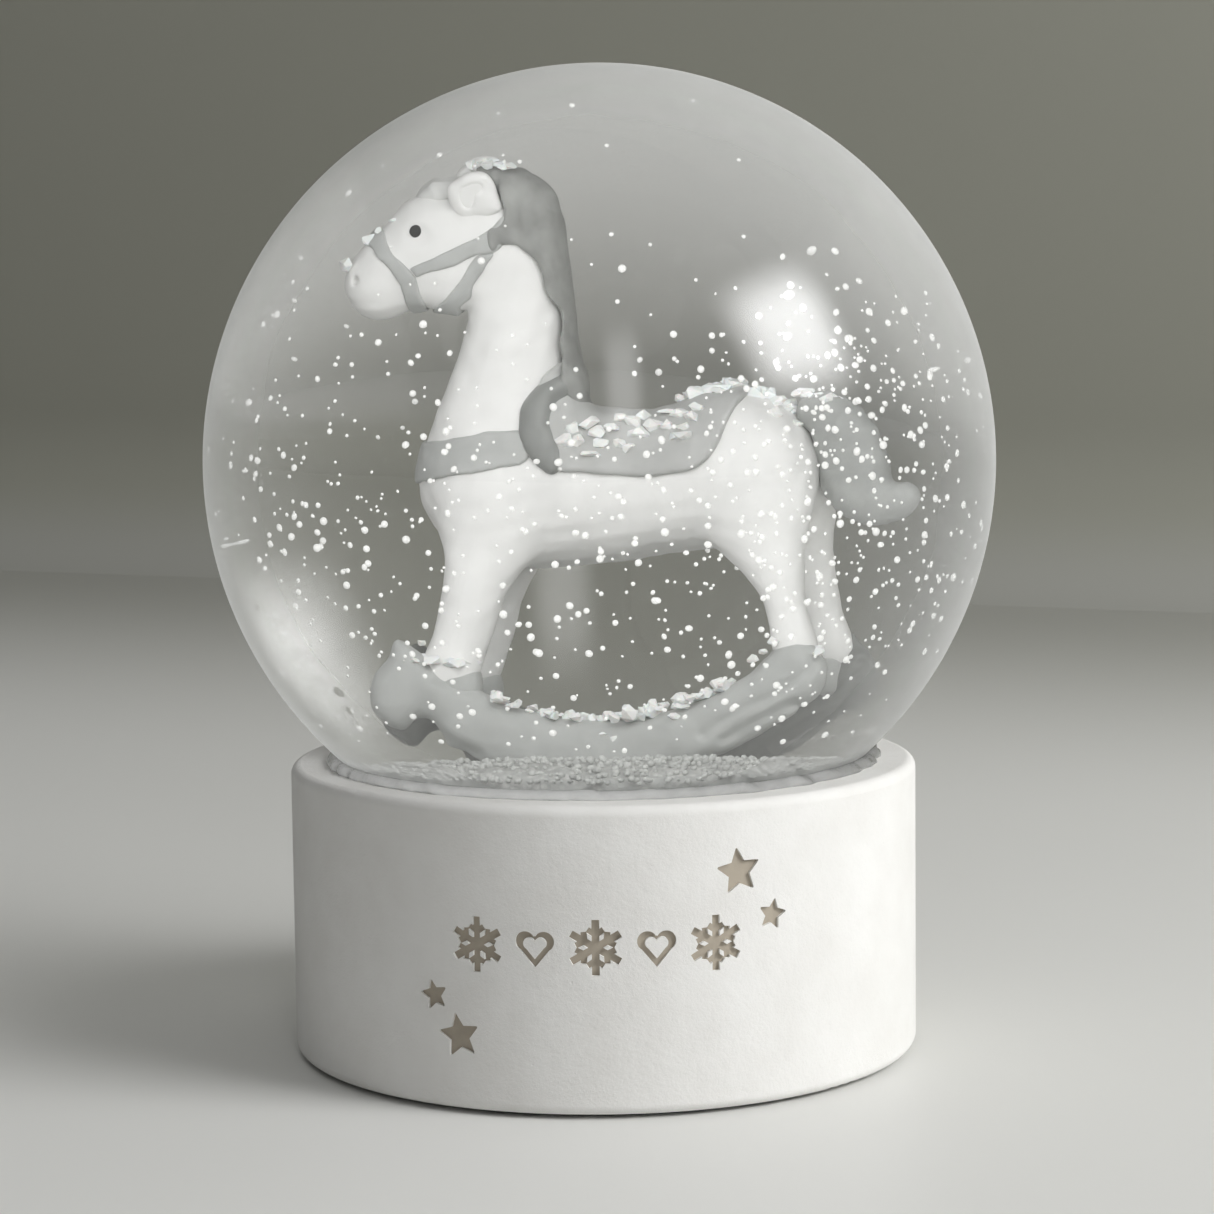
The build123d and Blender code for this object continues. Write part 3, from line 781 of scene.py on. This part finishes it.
MANE_LINE = (
    (-7.2, 0, 65.35, 1.2, 1.2),
    (-6.4, 0, 65.45, 1.45, 1.6),
    (-5.6, 0, 65.2, 1.5, 1.9),
    (-4.3, 0, 64.1, 1.85, 2.15),
    (-3.8, 0, 61.8, 1.7, 2.3),
    (-3.2, 0, 58.6, 1.5, 2.3),
    (-2.9, 0, 55.6, 1.45, 2.3),
    (-2.1, 0, 53.4, 1.3, 2.0),
    (-1.6, 0, 52.2, 0.9, 1.4),
)
MANE_EDGE = (
    (-9.0, 66.3), (-7.6, 69.4), (-0.5, 69.0), (2.5, 60.0), (2.5, 53.0), (0.3, 51.2), (-2.1, 53.2),
    (-2.05, 54.3), (-2.1, 56.1), (-1.9, 57.2), (-2.3, 58.6), (-2.9, 59.7), (-3.3, 60.9), (-3.9, 61.7),
    (-4.5, 62.35), (-5.0, 62.45), (-5.6, 62.3), (-6.15, 61.9), (-6.5, 62.6), (-6.2, 63.5), (-5.6, 64.4),
    (-5.7, 65.0), (-6.2, 65.7), (-6.4, 66.3), (-7.6, 66.2),
)


def strands(flow, across, depth):
    """Shallow grooves that run along the hair."""
    ripple = np.sin(across * 5.2 + 0.8 * np.sin(flow * 0.9))
    fine = np.sin(across * 11.0 + 1.3 * np.sin(flow * 1.7 + 1.0))
    return depth * (0.7 * ripple + 0.3 * fine)


def mane():
    g, body = near((-9.5, -4.6, 50.8), (0.8, 4.6, 68.4))
    hair = limb(g, MANE_LINE, 0.7)
    edge = outline_distance(g, smooth_outline(MANE_EDGE, 2)) + 0.05 * wobble(g, 1.4, 30)
    coat = body - 0.3
    for side in (-1, 1):
        coat = np.maximum(coat, 0.6 - ear_plate(g, side))
    hair = smax(smin(hair, coat, 0.5), edge, 0.3)
    hair = np.maximum(hair, -(body + 0.5))
    for side in (-1, 1):
        hair = smax(hair, 0.08 - ear_plate(g, side), 0.2)
    hair = hair + strands(g.z, g.x * 0.9 + g.z * 0.2 + np.abs(g.y) * 0.5, 0.07)
    hair = hair + 0.035 * wobble(g, 2.2, 31)
    carve("mane_paint", g, hair, DARK, "mane")


FORELOCK = (
    (-8.1, 0.0, 65.7, 0.55, 0.9),
    (-9.0, 0.1, 65.4, 0.62, 1.1),
    (-10.1, 0.2, 65.25, 0.72, 1.2),
    (-10.9, 0.2, 64.75, 0.4, 0.8),
)


def forelock():
    g, body = near((-12.6, -3.2, 62.5), (-7.0, 3.2, 68.2))
    lock = limb(g, FORELOCK, 0.4)
    lock = np.maximum(lock, -(body + 0.4)) + strands(g.x, g.y * 1.2 + g.z * 0.3, 0.06)
    for side in (-1, 1):
        lock = smax(lock, 0.1 - ear_plate(g, side), 0.2)
    lock = lock + 0.05 * wobble(g, 1.2, 33)
    carve("forelock_paint", g, lock, FORELOCK_GREY, "forelock")


TAIL = (
    (13.8, 0, 51.9, 1.0, 1.1),
    (15.2, 0, 51.3, 1.5, 1.5),
    (16.3, 0, 49.6, 2.05, 1.75),
    (16.7, 0, 47.6, 2.25, 1.75),
    (17.8, 0, 46.3, 1.6, 1.45),
    (19.3, 0, 46.0, 1.1, 1.1),
    (20.45, 0, 46.35, 0.8, 0.8),
)


def tail():
    g = Grid((12.0, -2.8, 42.8), (22.6, 2.8, 54.2), VOXEL)
    hair = limb(g, TAIL, 0.5, 3)
    swirl = g.x * 0.75 - g.z * 0.35 + np.abs(g.y) * 0.4
    hair = hair + strands(g.z, swirl, 0.045) + 0.05 * wobble(g, 1.9, 41)
    carve("tail_paint", g, hair, TAIL_GREY, "tail")


def ears():
    """Cupped ears that open sideways."""
    for name, side in (("ear_left", -1), ("ear_right", 1)):
        low, high = (-9.8, min(side * 0.8, side * 3.6), 63.2), (-5.0, max(side * 0.8, side * 3.6), 67.8)
        g = Grid(low, high, VOXEL * 0.6)
        leaf = ear_plate(g, side)
        bowl = ball(g, -7.75, side * 2.9, 65.4, 0.52, 0.85, 0.8)
        tip = ball(g, -7.25, side * 2.95, 66.05, 0.5, 0.7, 0.4)
        leaf = smax(leaf, -smin(bowl, tip, 0.4), 0.25) + 0.03 * wobble(g, 1.1, 51)
        carve(name + "_cast", g, leaf, WHITE, name)


EYE = (-11.1, 63.1)


def eyes():
    """A dot of black paint on each cheek."""
    for name, side in (("eye_left", -1), ("eye_right", 1)):
        skin = skin_height(EYE[0], EYE[1], side)
        low, high = sorted((skin - side * 0.5, skin + side * 0.5))
        fine = Grid((EYE[0] - 0.6, low, EYE[1] - 0.6), (EYE[0] + 0.6, high, EYE[1] + 0.6), 0.05)
        dot = ball(fine, EYE[0], skin + side * 0.02, EYE[1], 0.43, 0.14, 0.43)
        carve(name + "_paint", fine, dot, BLACK, name)


def station(at, axis):
    """Number of the lattice point nearest to a place along an axis."""
    return int(round((at - MAIN.low[axis]) / MAIN.step))


def skin_height(x, z, side):
    """How far the horse's skin stands from its centre plane at a side-view point."""
    line = HORSE[station(x, 0), :, station(z, 2)]
    y = MAIN.y[0, :, 0]
    inside = np.nonzero(line < 0)[0]
    last = inside[-1] if side > 0 else inside[0]
    past = last + side
    share = line[last] / (line[last] - line[past])
    return float(y[last] + share * (y[past] - y[last]))


saddle_pieces()
harness()
mane()
forelock()
tail()
ears()
eyes()


def hooves():
    """Grey hooves between the legs and the rockers."""
    g = Grid((-12.4, -6.0, 33.4), (16.0, 6.0, 37.4), VOXEL)
    made = None
    for side in (-1, 1):
        for x, top, half in ((-8.5, 36.0, 1.6), (13.5, 36.7, 1.3)):
            upper = (x, side * 3.7, top - 0.9, half, 1.42)
            lower = (x - 0.1, side * 3.8, top - 1.7, half + 0.1, 1.45)
            one = smax(limb(g, (upper, lower), 0.3), g.z - top, 0.35)
            made = one if made is None else np.minimum(made, one)
    made = made + 0.04 * wobble(g, 1.4, 61)
    carve("hooves_paint", g, made, GREY, "hooves")


ARC = (1.0, 50.5)
ARC_LOW, ARC_TOP = 22.4, 18.1
KNOBS = ((-12.2, 34.05, 1.95), (14.45, 34.85, 1.85))


def bar(g, a, b):
    """A tapered bar in the side view between two (x, z, radius) ends."""
    d, t = stretch_distance(g, a, b)
    return d - a[2] - t * (b[2] - a[2])


def rocker_outline(g, stretch=0.0):
    """The rocker's side view as a signed distance."""
    reach = np.hypot(g.x - ARC[0], g.z - ARC[1])
    mid, half = (ARC_LOW + ARC_TOP) / 2, (ARC_LOW - ARC_TOP) / 2
    band = np.abs(reach - mid) - half
    ends = np.maximum(-12.6 - g.x, g.x - 14.4 - stretch)
    band = smax(band, ends, 1.2)
    for x, z, r in KNOBS:
        x = x + (stretch if x > 0 else 0)
        band = smin(band, np.hypot(g.x - x, g.z - z) - r, 2.2)
    band = smin(band, bar(g, (-12.2, 34.0, 1.85), (-9.6, 33.4, 2.1)), 0.5)
    band = smin(band, bar(g, (-9.6, 33.4, 2.1), (-6.4, 31.8, 2.0)), 0.5)
    notch = np.hypot(g.x + 10.75, g.z - 31.6) - 0.95
    band = smax(band, -notch, 0.7)
    return band


def rocker(name, side, stretch, node):
    """A rounded runner with a scroll groove at each end."""
    y = side * ROCKER_Y
    g = Grid((-15.4, min(y - 2.2, y + 2.2), 27.2), (17.4 + stretch, max(y - 2.2, y + 2.2), 37.8), VOXEL)
    flat = rocker_outline(g, stretch)
    thick = np.abs(g.y - y) - 1.4
    solid = smax(flat, thick, 2.0)
    grooves = (
        ((7.9, 31.0), (10.2, 32.4), (12.8, 33.5), (14.9, 34.9), (15.3, 35.7)),
        ((9.2, 30.6), (11.5, 31.8), (14.1, 32.8)),
        ((-10.4, 31.8), (-9.0, 31.1), (-7.2, 30.2)),
    )
    for line in grooves:
        line = curve_points([(x + (stretch if x > 0 else 0), z) for x, z in line])
        solid = solid + 0.22 * furrow(g, line, 0.4)
    solid = solid + 0.035 * wobble(g, 3.0, 71) + 0.012 * wobble(g, 1.0, 72)
    # the far rocker takes the darker grey copy, painted shade; both rockers are the same paint
    carve(name, g, solid, GREY if side < 0 else FAR_ROCKER_SHADE_GREY, node)


hooves()
rocker("rocker_left_cast", -1, 0.0, "rocker_left")
rocker("rocker_right_cast", 1, 0.6, "rocker_right")

# ---- snow


def crumb_group(name, spots, node, seed):
    """Angular glued-on crumbs, each the hull of a few scattered points."""
    rng = random.Random(seed)
    work = bmesh.new()
    for x, y, z, size in spots:
        flat, long = rng.uniform(0.6, 0.95), rng.uniform(0.9, 1.35)
        made = []
        for _ in range(13):
            d = any_way(rng)
            p = d * size * rng.uniform(0.46, 0.56)
            made.append(work.verts.new((x + p.x * long, y + p.y, z + p.z * flat)))
        hull = bmesh.ops.convex_hull(work, input=made, use_existing_faces=False)
        loose = [v for v in hull["geom_interior"] if isinstance(v, bmesh.types.BMVert)]
        bmesh.ops.delete(work, geom=loose, context="VERTS")
    points = to_world(np.array([v.co[:] for v in work.verts]))
    work.verts.index_update()
    faces = np.array([[v.index for v in f.verts] for f in work.faces])
    work.free()
    belongs(mesh_object(name, points, faces, smooth=False), CHIP, node)


def top_of_horse(x, y):
    """Height of the horse's skin over a point of its back or head."""
    filled = MAIN.z[0, 0, :][HORSE[station(x, 0), station(y, 1), :] < 0]
    return float(filled.max())


def saddle_crumbs(rng):
    places = [(-1.0, -3.2), (-0.6, -3.9), (0.0, -2.9), (1.0, -3.9), (0.4, -4.3), (2.2, -4.0)]
    places += [(2.9, -4.2), (3.4, -3.6), (1.9, -2.4), (3.3, -2.0), (5.9, -4.2), (6.3, -3.9), (6.8, -3.4)]
    places += [(6.6, -4.3), (7.0, -2.8), (4.9, -2.0), (0.6, 2.7), (3.0, 3.3), (5.6, 2.4)]
    places += [(-1.3, -3.9), (0.7, -3.4), (1.5, -3.2), (2.6, -2.9), (4.2, -3.1), (5.2, -3.4), (5.8, -2.8)]
    return [(x, y * 1.05, top_of_horse(x, y) + 0.68, rng.uniform(0.9, 1.55)) for x, y in places]


def rump_crumbs(rng):
    """A line of crumbs over the rump, and a few on the tail."""
    spots = []
    for k in range(38):
        x = 5.6 + 7.6 * (k / 37) + rng.uniform(-0.3, 0.3)
        y = rng.gauss(0, 0.95)
        z = top_of_horse(x, y) + (0.7 if x < 9.0 else 0.12)
        spots.append((x, y, z, rng.uniform(0.8, 1.45)))
    for k in range(9):
        x = 12.9 + 0.36 * k
        z = 53.0 - 0.06 * (x - 13.2) ** 2
        spots.append((x, rng.uniform(-1.0, 0.3), z, rng.uniform(0.6, 1.1)))
    for x, z in ((18.6, 47.6), (18.3, 47.0), (19.1, 46.9), (16.0, 49.6)):
        spots.append((x, -0.9 if x < 18 else -0.4, z, rng.uniform(0.5, 0.85)))
    return spots


def rocker_crumbs(rng):
    """Heaps along the near runner, and crumbs round the two hooves that stand on it."""
    spots = []
    heaps = ((-6.3, 0.7, 7), (-3.7, 1.0, 11), (-0.9, 0.8, 10), (1.6, 0.8, 11), (4.0, 0.9, 24))
    heaps += ((6.5, 0.9, 13), (8.9, 0.8, 9))
    for middle, spread, many in heaps:
        for _ in range(many):
            x = middle + max(-1.8, min(1.8, rng.gauss(0, spread)))
            high = 0.75 if many > 20 else 0.3
            z = ARC[1] - math.sqrt(ARC_TOP**2 - (x - ARC[0]) ** 2) + rng.uniform(-0.1, high)
            crowd = 1.0 if x < 3.0 else 1.2
            spots.append((x, -ROCKER_Y + rng.gauss(0, 0.75), z, rng.uniform(0.5, 1.05) * crowd))
    for x, z in ((-11.6, 36.0), (-11.0, 36.3), (-10.4, 36.1), (-12.4, 36.0), (-9.9, 36.0), (-10.6, 37.5)):
        spots.append((x, -ROCKER_Y + rng.uniform(-1.2, 0.2), z, rng.uniform(0.5, 0.95)))
    for _ in range(16):
        x = rng.uniform(-12.8, -7.2)
        y = -ROCKER_Y - rng.uniform(-0.3, 1.3)
        spots.append((x, y, 36.4 - 0.12 * abs(x + 10.5), rng.uniform(0.9, 1.45)))
    for _ in range(10):
        x = rng.uniform(12.2, 16.2)
        y = -ROCKER_Y - rng.uniform(-0.4, 1.0)
        spots.append((x, y, 36.75 - 0.15 * (x - 14) ** 2, rng.uniform(0.6, 1.1)))
    single = ((1.2, 31.3), (1.8, 31.0), (5.9, 32.4), (6.4, 31.6), (11.2, 36.1), (11.9, 36.5), (12.6, 37.2))
    for x, z in single:
        spots.append((x, -ROCKER_Y - 1.1, z, rng.uniform(0.5, 0.9)))
    return spots


def head_crumbs(rng):
    """Crumbs on the nose and between the ears."""
    spots = []
    for x, z, size in ((-14.15, 62.4, 1.0), (-13.5, 62.9, 0.75), (-12.6, 63.6, 0.6), (-15.65, 60.8, 1.0)):
        spots.append((x, -0.5 + rng.uniform(-0.3, 0.3), z, size))
    spots.append((-7.75, -0.9, 67.2, 0.9))
    for k in range(6):
        y = -0.8 + rng.uniform(-0.3, 0.3)
        spots.append((-7.1 + 0.36 * k, y, 67.45 - 0.04 * k, rng.uniform(0.75, 1.0)))
    return spots


def crumbs():
    rng = random.Random(7)
    for name, node, spots, seed in (
        ("saddle_snow", "snow_chips_saddle", saddle_crumbs, 101),
        ("rump_snow", "snow_chips_rump", rump_crumbs, 102),
        ("rocker_snow", "snow_chips_rockers", rocker_crumbs, 103),
        ("head_snow", "snow_chips_head", head_crumbs, 104),
    ):
        crumb_group(name, spots(rng), node, seed)


crumbs()


def bead_shape(rounds):
    """Points and triangles of a unit bead."""
    work = bmesh.new()
    bmesh.ops.create_icosphere(work, subdivisions=rounds, radius=1.0)
    work.verts.index_update()
    points = np.array([v.co[:] for v in work.verts])
    faces = np.array([[v.index for v in f.verts] for f in work.faces])
    work.free()
    return points, faces


def scatter(name, spots, material, node, body, rounds):
    """Many small flattened beads as one piece, spots being (x, y, z, radius) in frame mm."""
    rng = random.Random(len(spots))
    unit, tri = bead_shape(rounds)
    points, faces = [], []
    for n, (x, y, z, r) in enumerate(spots):
        squash = np.array((1, 1, rng.uniform(0.75, 1.0)))
        spin = any_way(rng).to_track_quat("Z", "Y").to_matrix()
        points.append((unit * squash * r) @ np.array(spin).T + (x, y, z))
        faces.append(tri + n * len(unit))
    thing = mesh_object(name, np.concatenate(points) * MM, np.concatenate(faces))
    belongs(thing, material, node, body)


def clear_radius(z):
    """Nearest that a circling flake may come to the globe's axis at a height."""
    if z < 39.5:
        return 20.6
    if z < 55.5:
        return 23.0
    if z < 69.0:
        return 18.4
    return 2.0


ADRIFT = 1300
SUNK_DRAWS = 2600


def drifting(count):
    """Loose flakes in the liquid: thick low on the right, thinner on the left and above."""
    rng = random.Random(23)
    spots = []
    while len(spots) < count:
        # heading from the front, positive to the right
        cloud = rng.random()
        if cloud < 0.16:
            heading, z = rng.gauss(42, 15), rng.gauss(54, 4.5)
        elif cloud < 0.58:
            heading, z = rng.gauss(32, 26), rng.gauss(42, 8)
        elif cloud < 0.8:
            heading, z = rng.gauss(-38, 20), rng.gauss(45, 10)
        else:
            heading, z = rng.uniform(-180, 180), rng.uniform(29, 74)
        if not 28.6 < z < 77:
            continue
        if z > 62 and rng.random() < 0.6:
            continue
        most2 = (GLOBE_R - WALL - 0.7) ** 2 - (z - GLOBE_Z) ** 2
        least = clear_radius(z)
        if most2 < (least + 0.2) ** 2:
            continue
        r = math.sqrt(rng.uniform(least**2, most2))
        a = math.radians(heading)
        size = 0.11 + 0.21 * rng.random() ** 2.4
        spots.append((r * math.sin(a), -r * math.cos(a), z, size))
    return spots


scatter("drifting_flakes", drifting(ADRIFT), FLAKE, "floating_flakes", "snow_swirl", 2)


MOUND = ((0, 29.2), (5.0, 29.2), (11.0, 29.0), (15.0, 28.4), (18.0, 27.5), (19.5, 26.4), (21.4, 25.6))


def mound_top(r):
    """Height of the snow-covered ground at a distance from the globe's axis."""
    return float(np.interp(r, [p[0] for p in MOUND], [p[1] for p in MOUND]))


def ground():
    """Cast ground with a grainy skin, and the snow that has sunk on it and round it."""
    rng = random.Random(31)
    edge_r, rings, skin = 19.3, 44, 0.15
    rows = [(0, 23.5), (18.9, 23.5), (edge_r, 24.3), (19.4, 25.4)]
    for k in range(rings):
        r = edge_r * (1 - k / rings)
        rows.append((r, mound_top(r) - skin))
    rows.append((0, mound_top(0) - skin))
    mound = lathe("ground_cast", rows, 150)
    grainy_above, grain = 0.0256, 0.0002
    for v in mound.data.vertices:
        if v.co.z > grainy_above:
            v.co.z += rng.uniform(-grain, grain)
    belongs(mound, SPECKLE, "ground_mound")
    spots = []
    for _ in range(SUNK_DRAWS):
        a = rng.uniform(0, 2 * math.pi)
        r = 6.5 + 14.6 * rng.random() ** 0.7
        top = mound_top(r)
        edge = math.sqrt((GLOBE_R - WALL - 0.45) ** 2 - (top - GLOBE_Z) ** 2)
        if r > edge:
            continue
        z = top + rng.uniform(-0.25, 0.2)
        spots.append((r * math.cos(a), r * math.sin(a), z, rng.uniform(0.15, 0.36)))
    scatter("sunk_flakes", spots, SUNK, "settled_flakes", "globe", 1)


ground()

# ---- glass, liquid and base


def glass_ball():
    """The ball and its neck, one closed wall."""
    inner = GLOBE_R - WALL
    neck_in = NECK_R - WALL
    out_angle = math.degrees(math.acos(NECK_R / GLOBE_R))
    in_angle = math.degrees(math.acos(neck_in / inner))
    profile = arc(GLOBE_Z, GLOBE_R, 90, -out_angle, 150)
    profile += [(NECK_R, NECK_BOTTOM + 3.0), (NECK_R, NECK_BOTTOM + 0.3)]
    profile += [(NECK_R - 0.3, NECK_BOTTOM), (neck_in + 0.3, NECK_BOTTOM), (neck_in, NECK_BOTTOM + 0.3)]
    profile += [(neck_in, NECK_BOTTOM + 3.0)] + arc(GLOBE_Z, inner, -in_angle, 90, 150)
    wall = lathe("glass_ball", profile, 256)
    belongs(wall, GLASS, "glass_globe")
    wall.data.materials.append(GLASS_INSIDE)
    for face in wall.data.polygons:
        if (face.center - MIDDLE).dot(face.normal) < 0:
            face.material_index = 1


def liquid():
    """The water. Its face lies just inside the glass wall, so light passes glass to water."""
    r = GLOBE_R - WALL + 0.05
    low = math.degrees(math.asin((GLOBE_Z - LIQUID_BOTTOM - 0.6) / r))
    profile = arc(GLOBE_Z, r, 90, -low, 150)
    end = profile[-1][0]
    profile += [(end - 0.3, LIQUID_BOTTOM), (0, LIQUID_BOTTOM)]
    belongs(lathe("water", profile, 256), LIQUID, "liquid_fill")


def bead_of_sealant():
    """Clear silicone that fills the seat and is squeezed out in a crinkled bead round the ball."""
    low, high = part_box("seat_adhesive")
    foot, well = low[2] / MM, high[0] / MM
    start = math.degrees(math.asin((23.4 - GLOBE_Z) / GLOBE_R))
    profile = [(NECK_R, foot)] + arc(GLOBE_Z, GLOBE_R - 0.02, start, start + 3.6, 6)
    profile += [(22.5, 24.8), (22.8, 24.6), (22.95, 24.35), (22.95, BASE_TOP), (well, BASE_TOP)]
    profile += [(well, foot), (NECK_R, foot)]
    ring = lathe("sealant_bead", profile, 420)
    rng = random.Random(57)
    waves = [(rng.randint(9, 60), rng.uniform(0, 6.28), rng.uniform(0.4, 1.0)) for _ in range(9)]
    for v in ring.data.vertices:
        reach, z = math.hypot(v.co.x, v.co.y) / MM, v.co.z / MM
        if reach < 22.3 or z < BASE_TOP:
            continue
        a = math.atan2(v.co.y, v.co.x)
        crinkle = sum(size * math.sin(n * a + phase + 2.0 * z) for n, phase, size in waves) / 2.6
        grow = 1 + 0.12 * crinkle / reach
        v.co.x, v.co.y = v.co.x * grow, v.co.y * grow
        if z > BASE_TOP + 0.1:
            v.co.z += 0.08 * crinkle * MM
    belongs(ring, sealant(), "seat_adhesive")


glass_ball()
liquid()
bead_of_sealant()


def dress(node, material):
    """Gives a CAD node a better material."""
    thing = frame["nodes"][node]
    for slot in thing.material_slots:
        slot.material = material


dress("base_body", PLASTER)
dress("engraved_stars", TAUPE)
dress("engraved_motif", TAUPE)
dress("felt_pad", felt())
dress("rubber_stopper", rubber())

# ---- stage, light and camera


def backdrop(name, points, faces, colour, other, start, stop, rough):
    """A painted surface of the set, whose tone runs from one colour to another between two points."""
    mesh = bpy.data.meshes.new(name)
    mesh.from_pydata(points, [], faces)
    mesh.polygons.foreach_set("use_smooth", [True] * len(faces))
    thing = added(name, mesh)
    s = Shader(name + "_paint")
    run = Vector(stop) - Vector(start)
    begin = Vector(start).dot(run) / run.length_squared
    inputs = {0: s.place(), 1: run / run.length_squared}
    along = s.node("ShaderNodeVectorMath", inputs, operation="DOT_PRODUCT")
    inputs = {"Value": along.outputs["Value"], "From Min": begin, "From Max": begin + 1}
    share = s.node("ShaderNodeMapRange", inputs, interpolation_type="SMOOTHSTEP").outputs["Result"]
    s.principled(rough, Base_Color=s.ramp(share, (0, colour), (1, other)))
    mesh.materials.append(s.material)


def stage():
    """A pale table that darkens towards the wall in painted shade, and an olive wall that comes nearer on
    the right.
    """
    pale, painted_shade, olive = (0.74, 0.74, 0.72), (0.40, 0.40, 0.37), (0.35, 0.35, 0.30)
    foot = Vector((-0.145, 0.489, 0))
    along = Vector((0.899, -0.4375, 0))
    back = Vector((0.4375, 0.899, 0))
    corners = [(-2, -1.2, 0), (2, -1.2, 0), (2, 1.6, 0), (-2, 1.6, 0)]
    # the table's far part darkens towards the wall: painted shade
    backdrop("table_top", corners, [(0, 1, 2, 3)], pale, painted_shade, foot - 0.26 * back, foot - 0.03 * back, 0.5)
    points, faces = [], []
    sweep, steps, height, sunk = 0.035, 12, 1.3, 0.0004
    for k in range(steps + 2):
        a = math.radians(90 * min(k, steps) / steps)
        out, up = sweep * (math.sin(a) - 1), sweep * (1 - math.cos(a))
        if k > steps:
            up = height
        for end in (-1.4, 1.6):
            points.append(foot + along * end + back * out + Vector((0, 0, up - sunk)))
    for k in range(steps + 1):
        faces.append((2 * k, 2 * k + 1, 2 * k + 3, 2 * k + 2))
    # the wall's foot carries on the table's painted shade colour before it turns olive
    backdrop("back_wall", points, faces, painted_shade, olive, (0, 0, 0.001), (0, 0, 0.02), 0.9)


def soften(data):
    """Dims a light towards its edges, so that its reflection has no hard outline."""
    data.use_nodes = True
    nodes = Nodes(data.node_tree)
    across = nodes.node("ShaderNodeNewGeometry").outputs["Parametric"]
    parts = nodes.node("ShaderNodeSeparateXYZ", {0: across})
    fades = []
    for axis in ("X", "Y"):
        inputs = {"Value": nodes.maths("PINGPONG", parts.outputs[axis], 0.5), "From Max": 0.4}
        fade = nodes.node("ShaderNodeMapRange", inputs, interpolation_type="SMOOTHSTEP")
        fades.append(fade.outputs["Result"])
    nodes.fill(nodes.tree.nodes["Emission"], {"Strength": nodes.maths("MULTIPLY", *fades)})


def area(name, place, size, power, receivers, mirrored=False):
    """A rectangular light that faces the globe. One that shows in reflections has soft edges."""
    data = bpy.data.lights.new(name, "AREA")
    data.shape = "RECTANGLE"
    data.size, data.size_y = size
    data.energy = power
    lamp = added(name, data)
    lamp.location = place
    lamp.rotation_euler = (MIDDLE - Vector(place)).to_track_quat("-Z", "Y").to_euler()
    lamp.visible_glossy = mirrored
    lamp.visible_transmission = mirrored
    lamp.light_linking.receiver_collection = receivers
    if mirrored:
        soften(data)


def group(name, things):
    """A collection used only to say what a light falls on."""
    made = bpy.data.collections.new(name)
    for thing in things:
        made.objects.link(thing)
    return made


def lights():
    """A window, a narrow strip of another and the ceiling, and lights for the figure alone."""
    figure, outside = [], []
    for thing in bpy.context.scene.collection.all_objects:
        if thing.type == "MESH":
            is_figure = thing.name.endswith(("_cast", "_paint", "_snow", "_flakes", "_bead"))
            (figure if is_figure else outside).append(thing)
    figure, outside = group("lit_figure", figure), group("lit_outside", outside)
    window = (0.474, -0.235, 0.372)
    area("window", window, (0.47, 0.44), 10.0, outside, mirrored=True)
    area("window_strip", (0.074, -0.572, 0.306), (0.15, 0.46), 0.85, outside, mirrored=True)
    area("ceiling", (-0.1, 0.1, 1.2), (1.2, 1.2), 3.8, outside)
    # the water-filled ball gathers light onto the figure, which straight shadow rays leave out
    area("gathered_key", window, (0.5, 0.5), 0.5, figure)
    area("gathered_top", (-0.1, -0.15, 0.6), (0.5, 0.5), 0.75, figure)
    area("gathered_front", (0.05, -0.6, 0.30), (0.6, 0.5), 4.1, figure)
    area("gathered_left", (-0.5, -0.3, 0.2), (0.5, 0.4), 1.2, figure)
    world = bpy.data.worlds.new("soft_room")
    world.use_nodes = True
    sky = world.node_tree.nodes["Background"]
    sky.inputs["Color"].default_value = (0.94, 0.95, 0.93, 1)
    sky.inputs["Strength"].default_value = 0.10
    bpy.context.scene.world = world


stage()
lights()


def camera():
    data = bpy.data.cameras.new("camera")
    data.sensor_width = 36.0
    data.lens = 92.96
    data.clip_start, data.clip_end = 0.01, 10
    eye = added("camera", data)
    eye.location = (0.0008, -0.2587, 0.0632)
    eye.rotation_euler = (math.radians(90 - 5.88), math.radians(0.7), 0)
    bpy.context.scene.camera = eye


camera()
bpy.context.scene.view_settings.view_transform = "Standard"
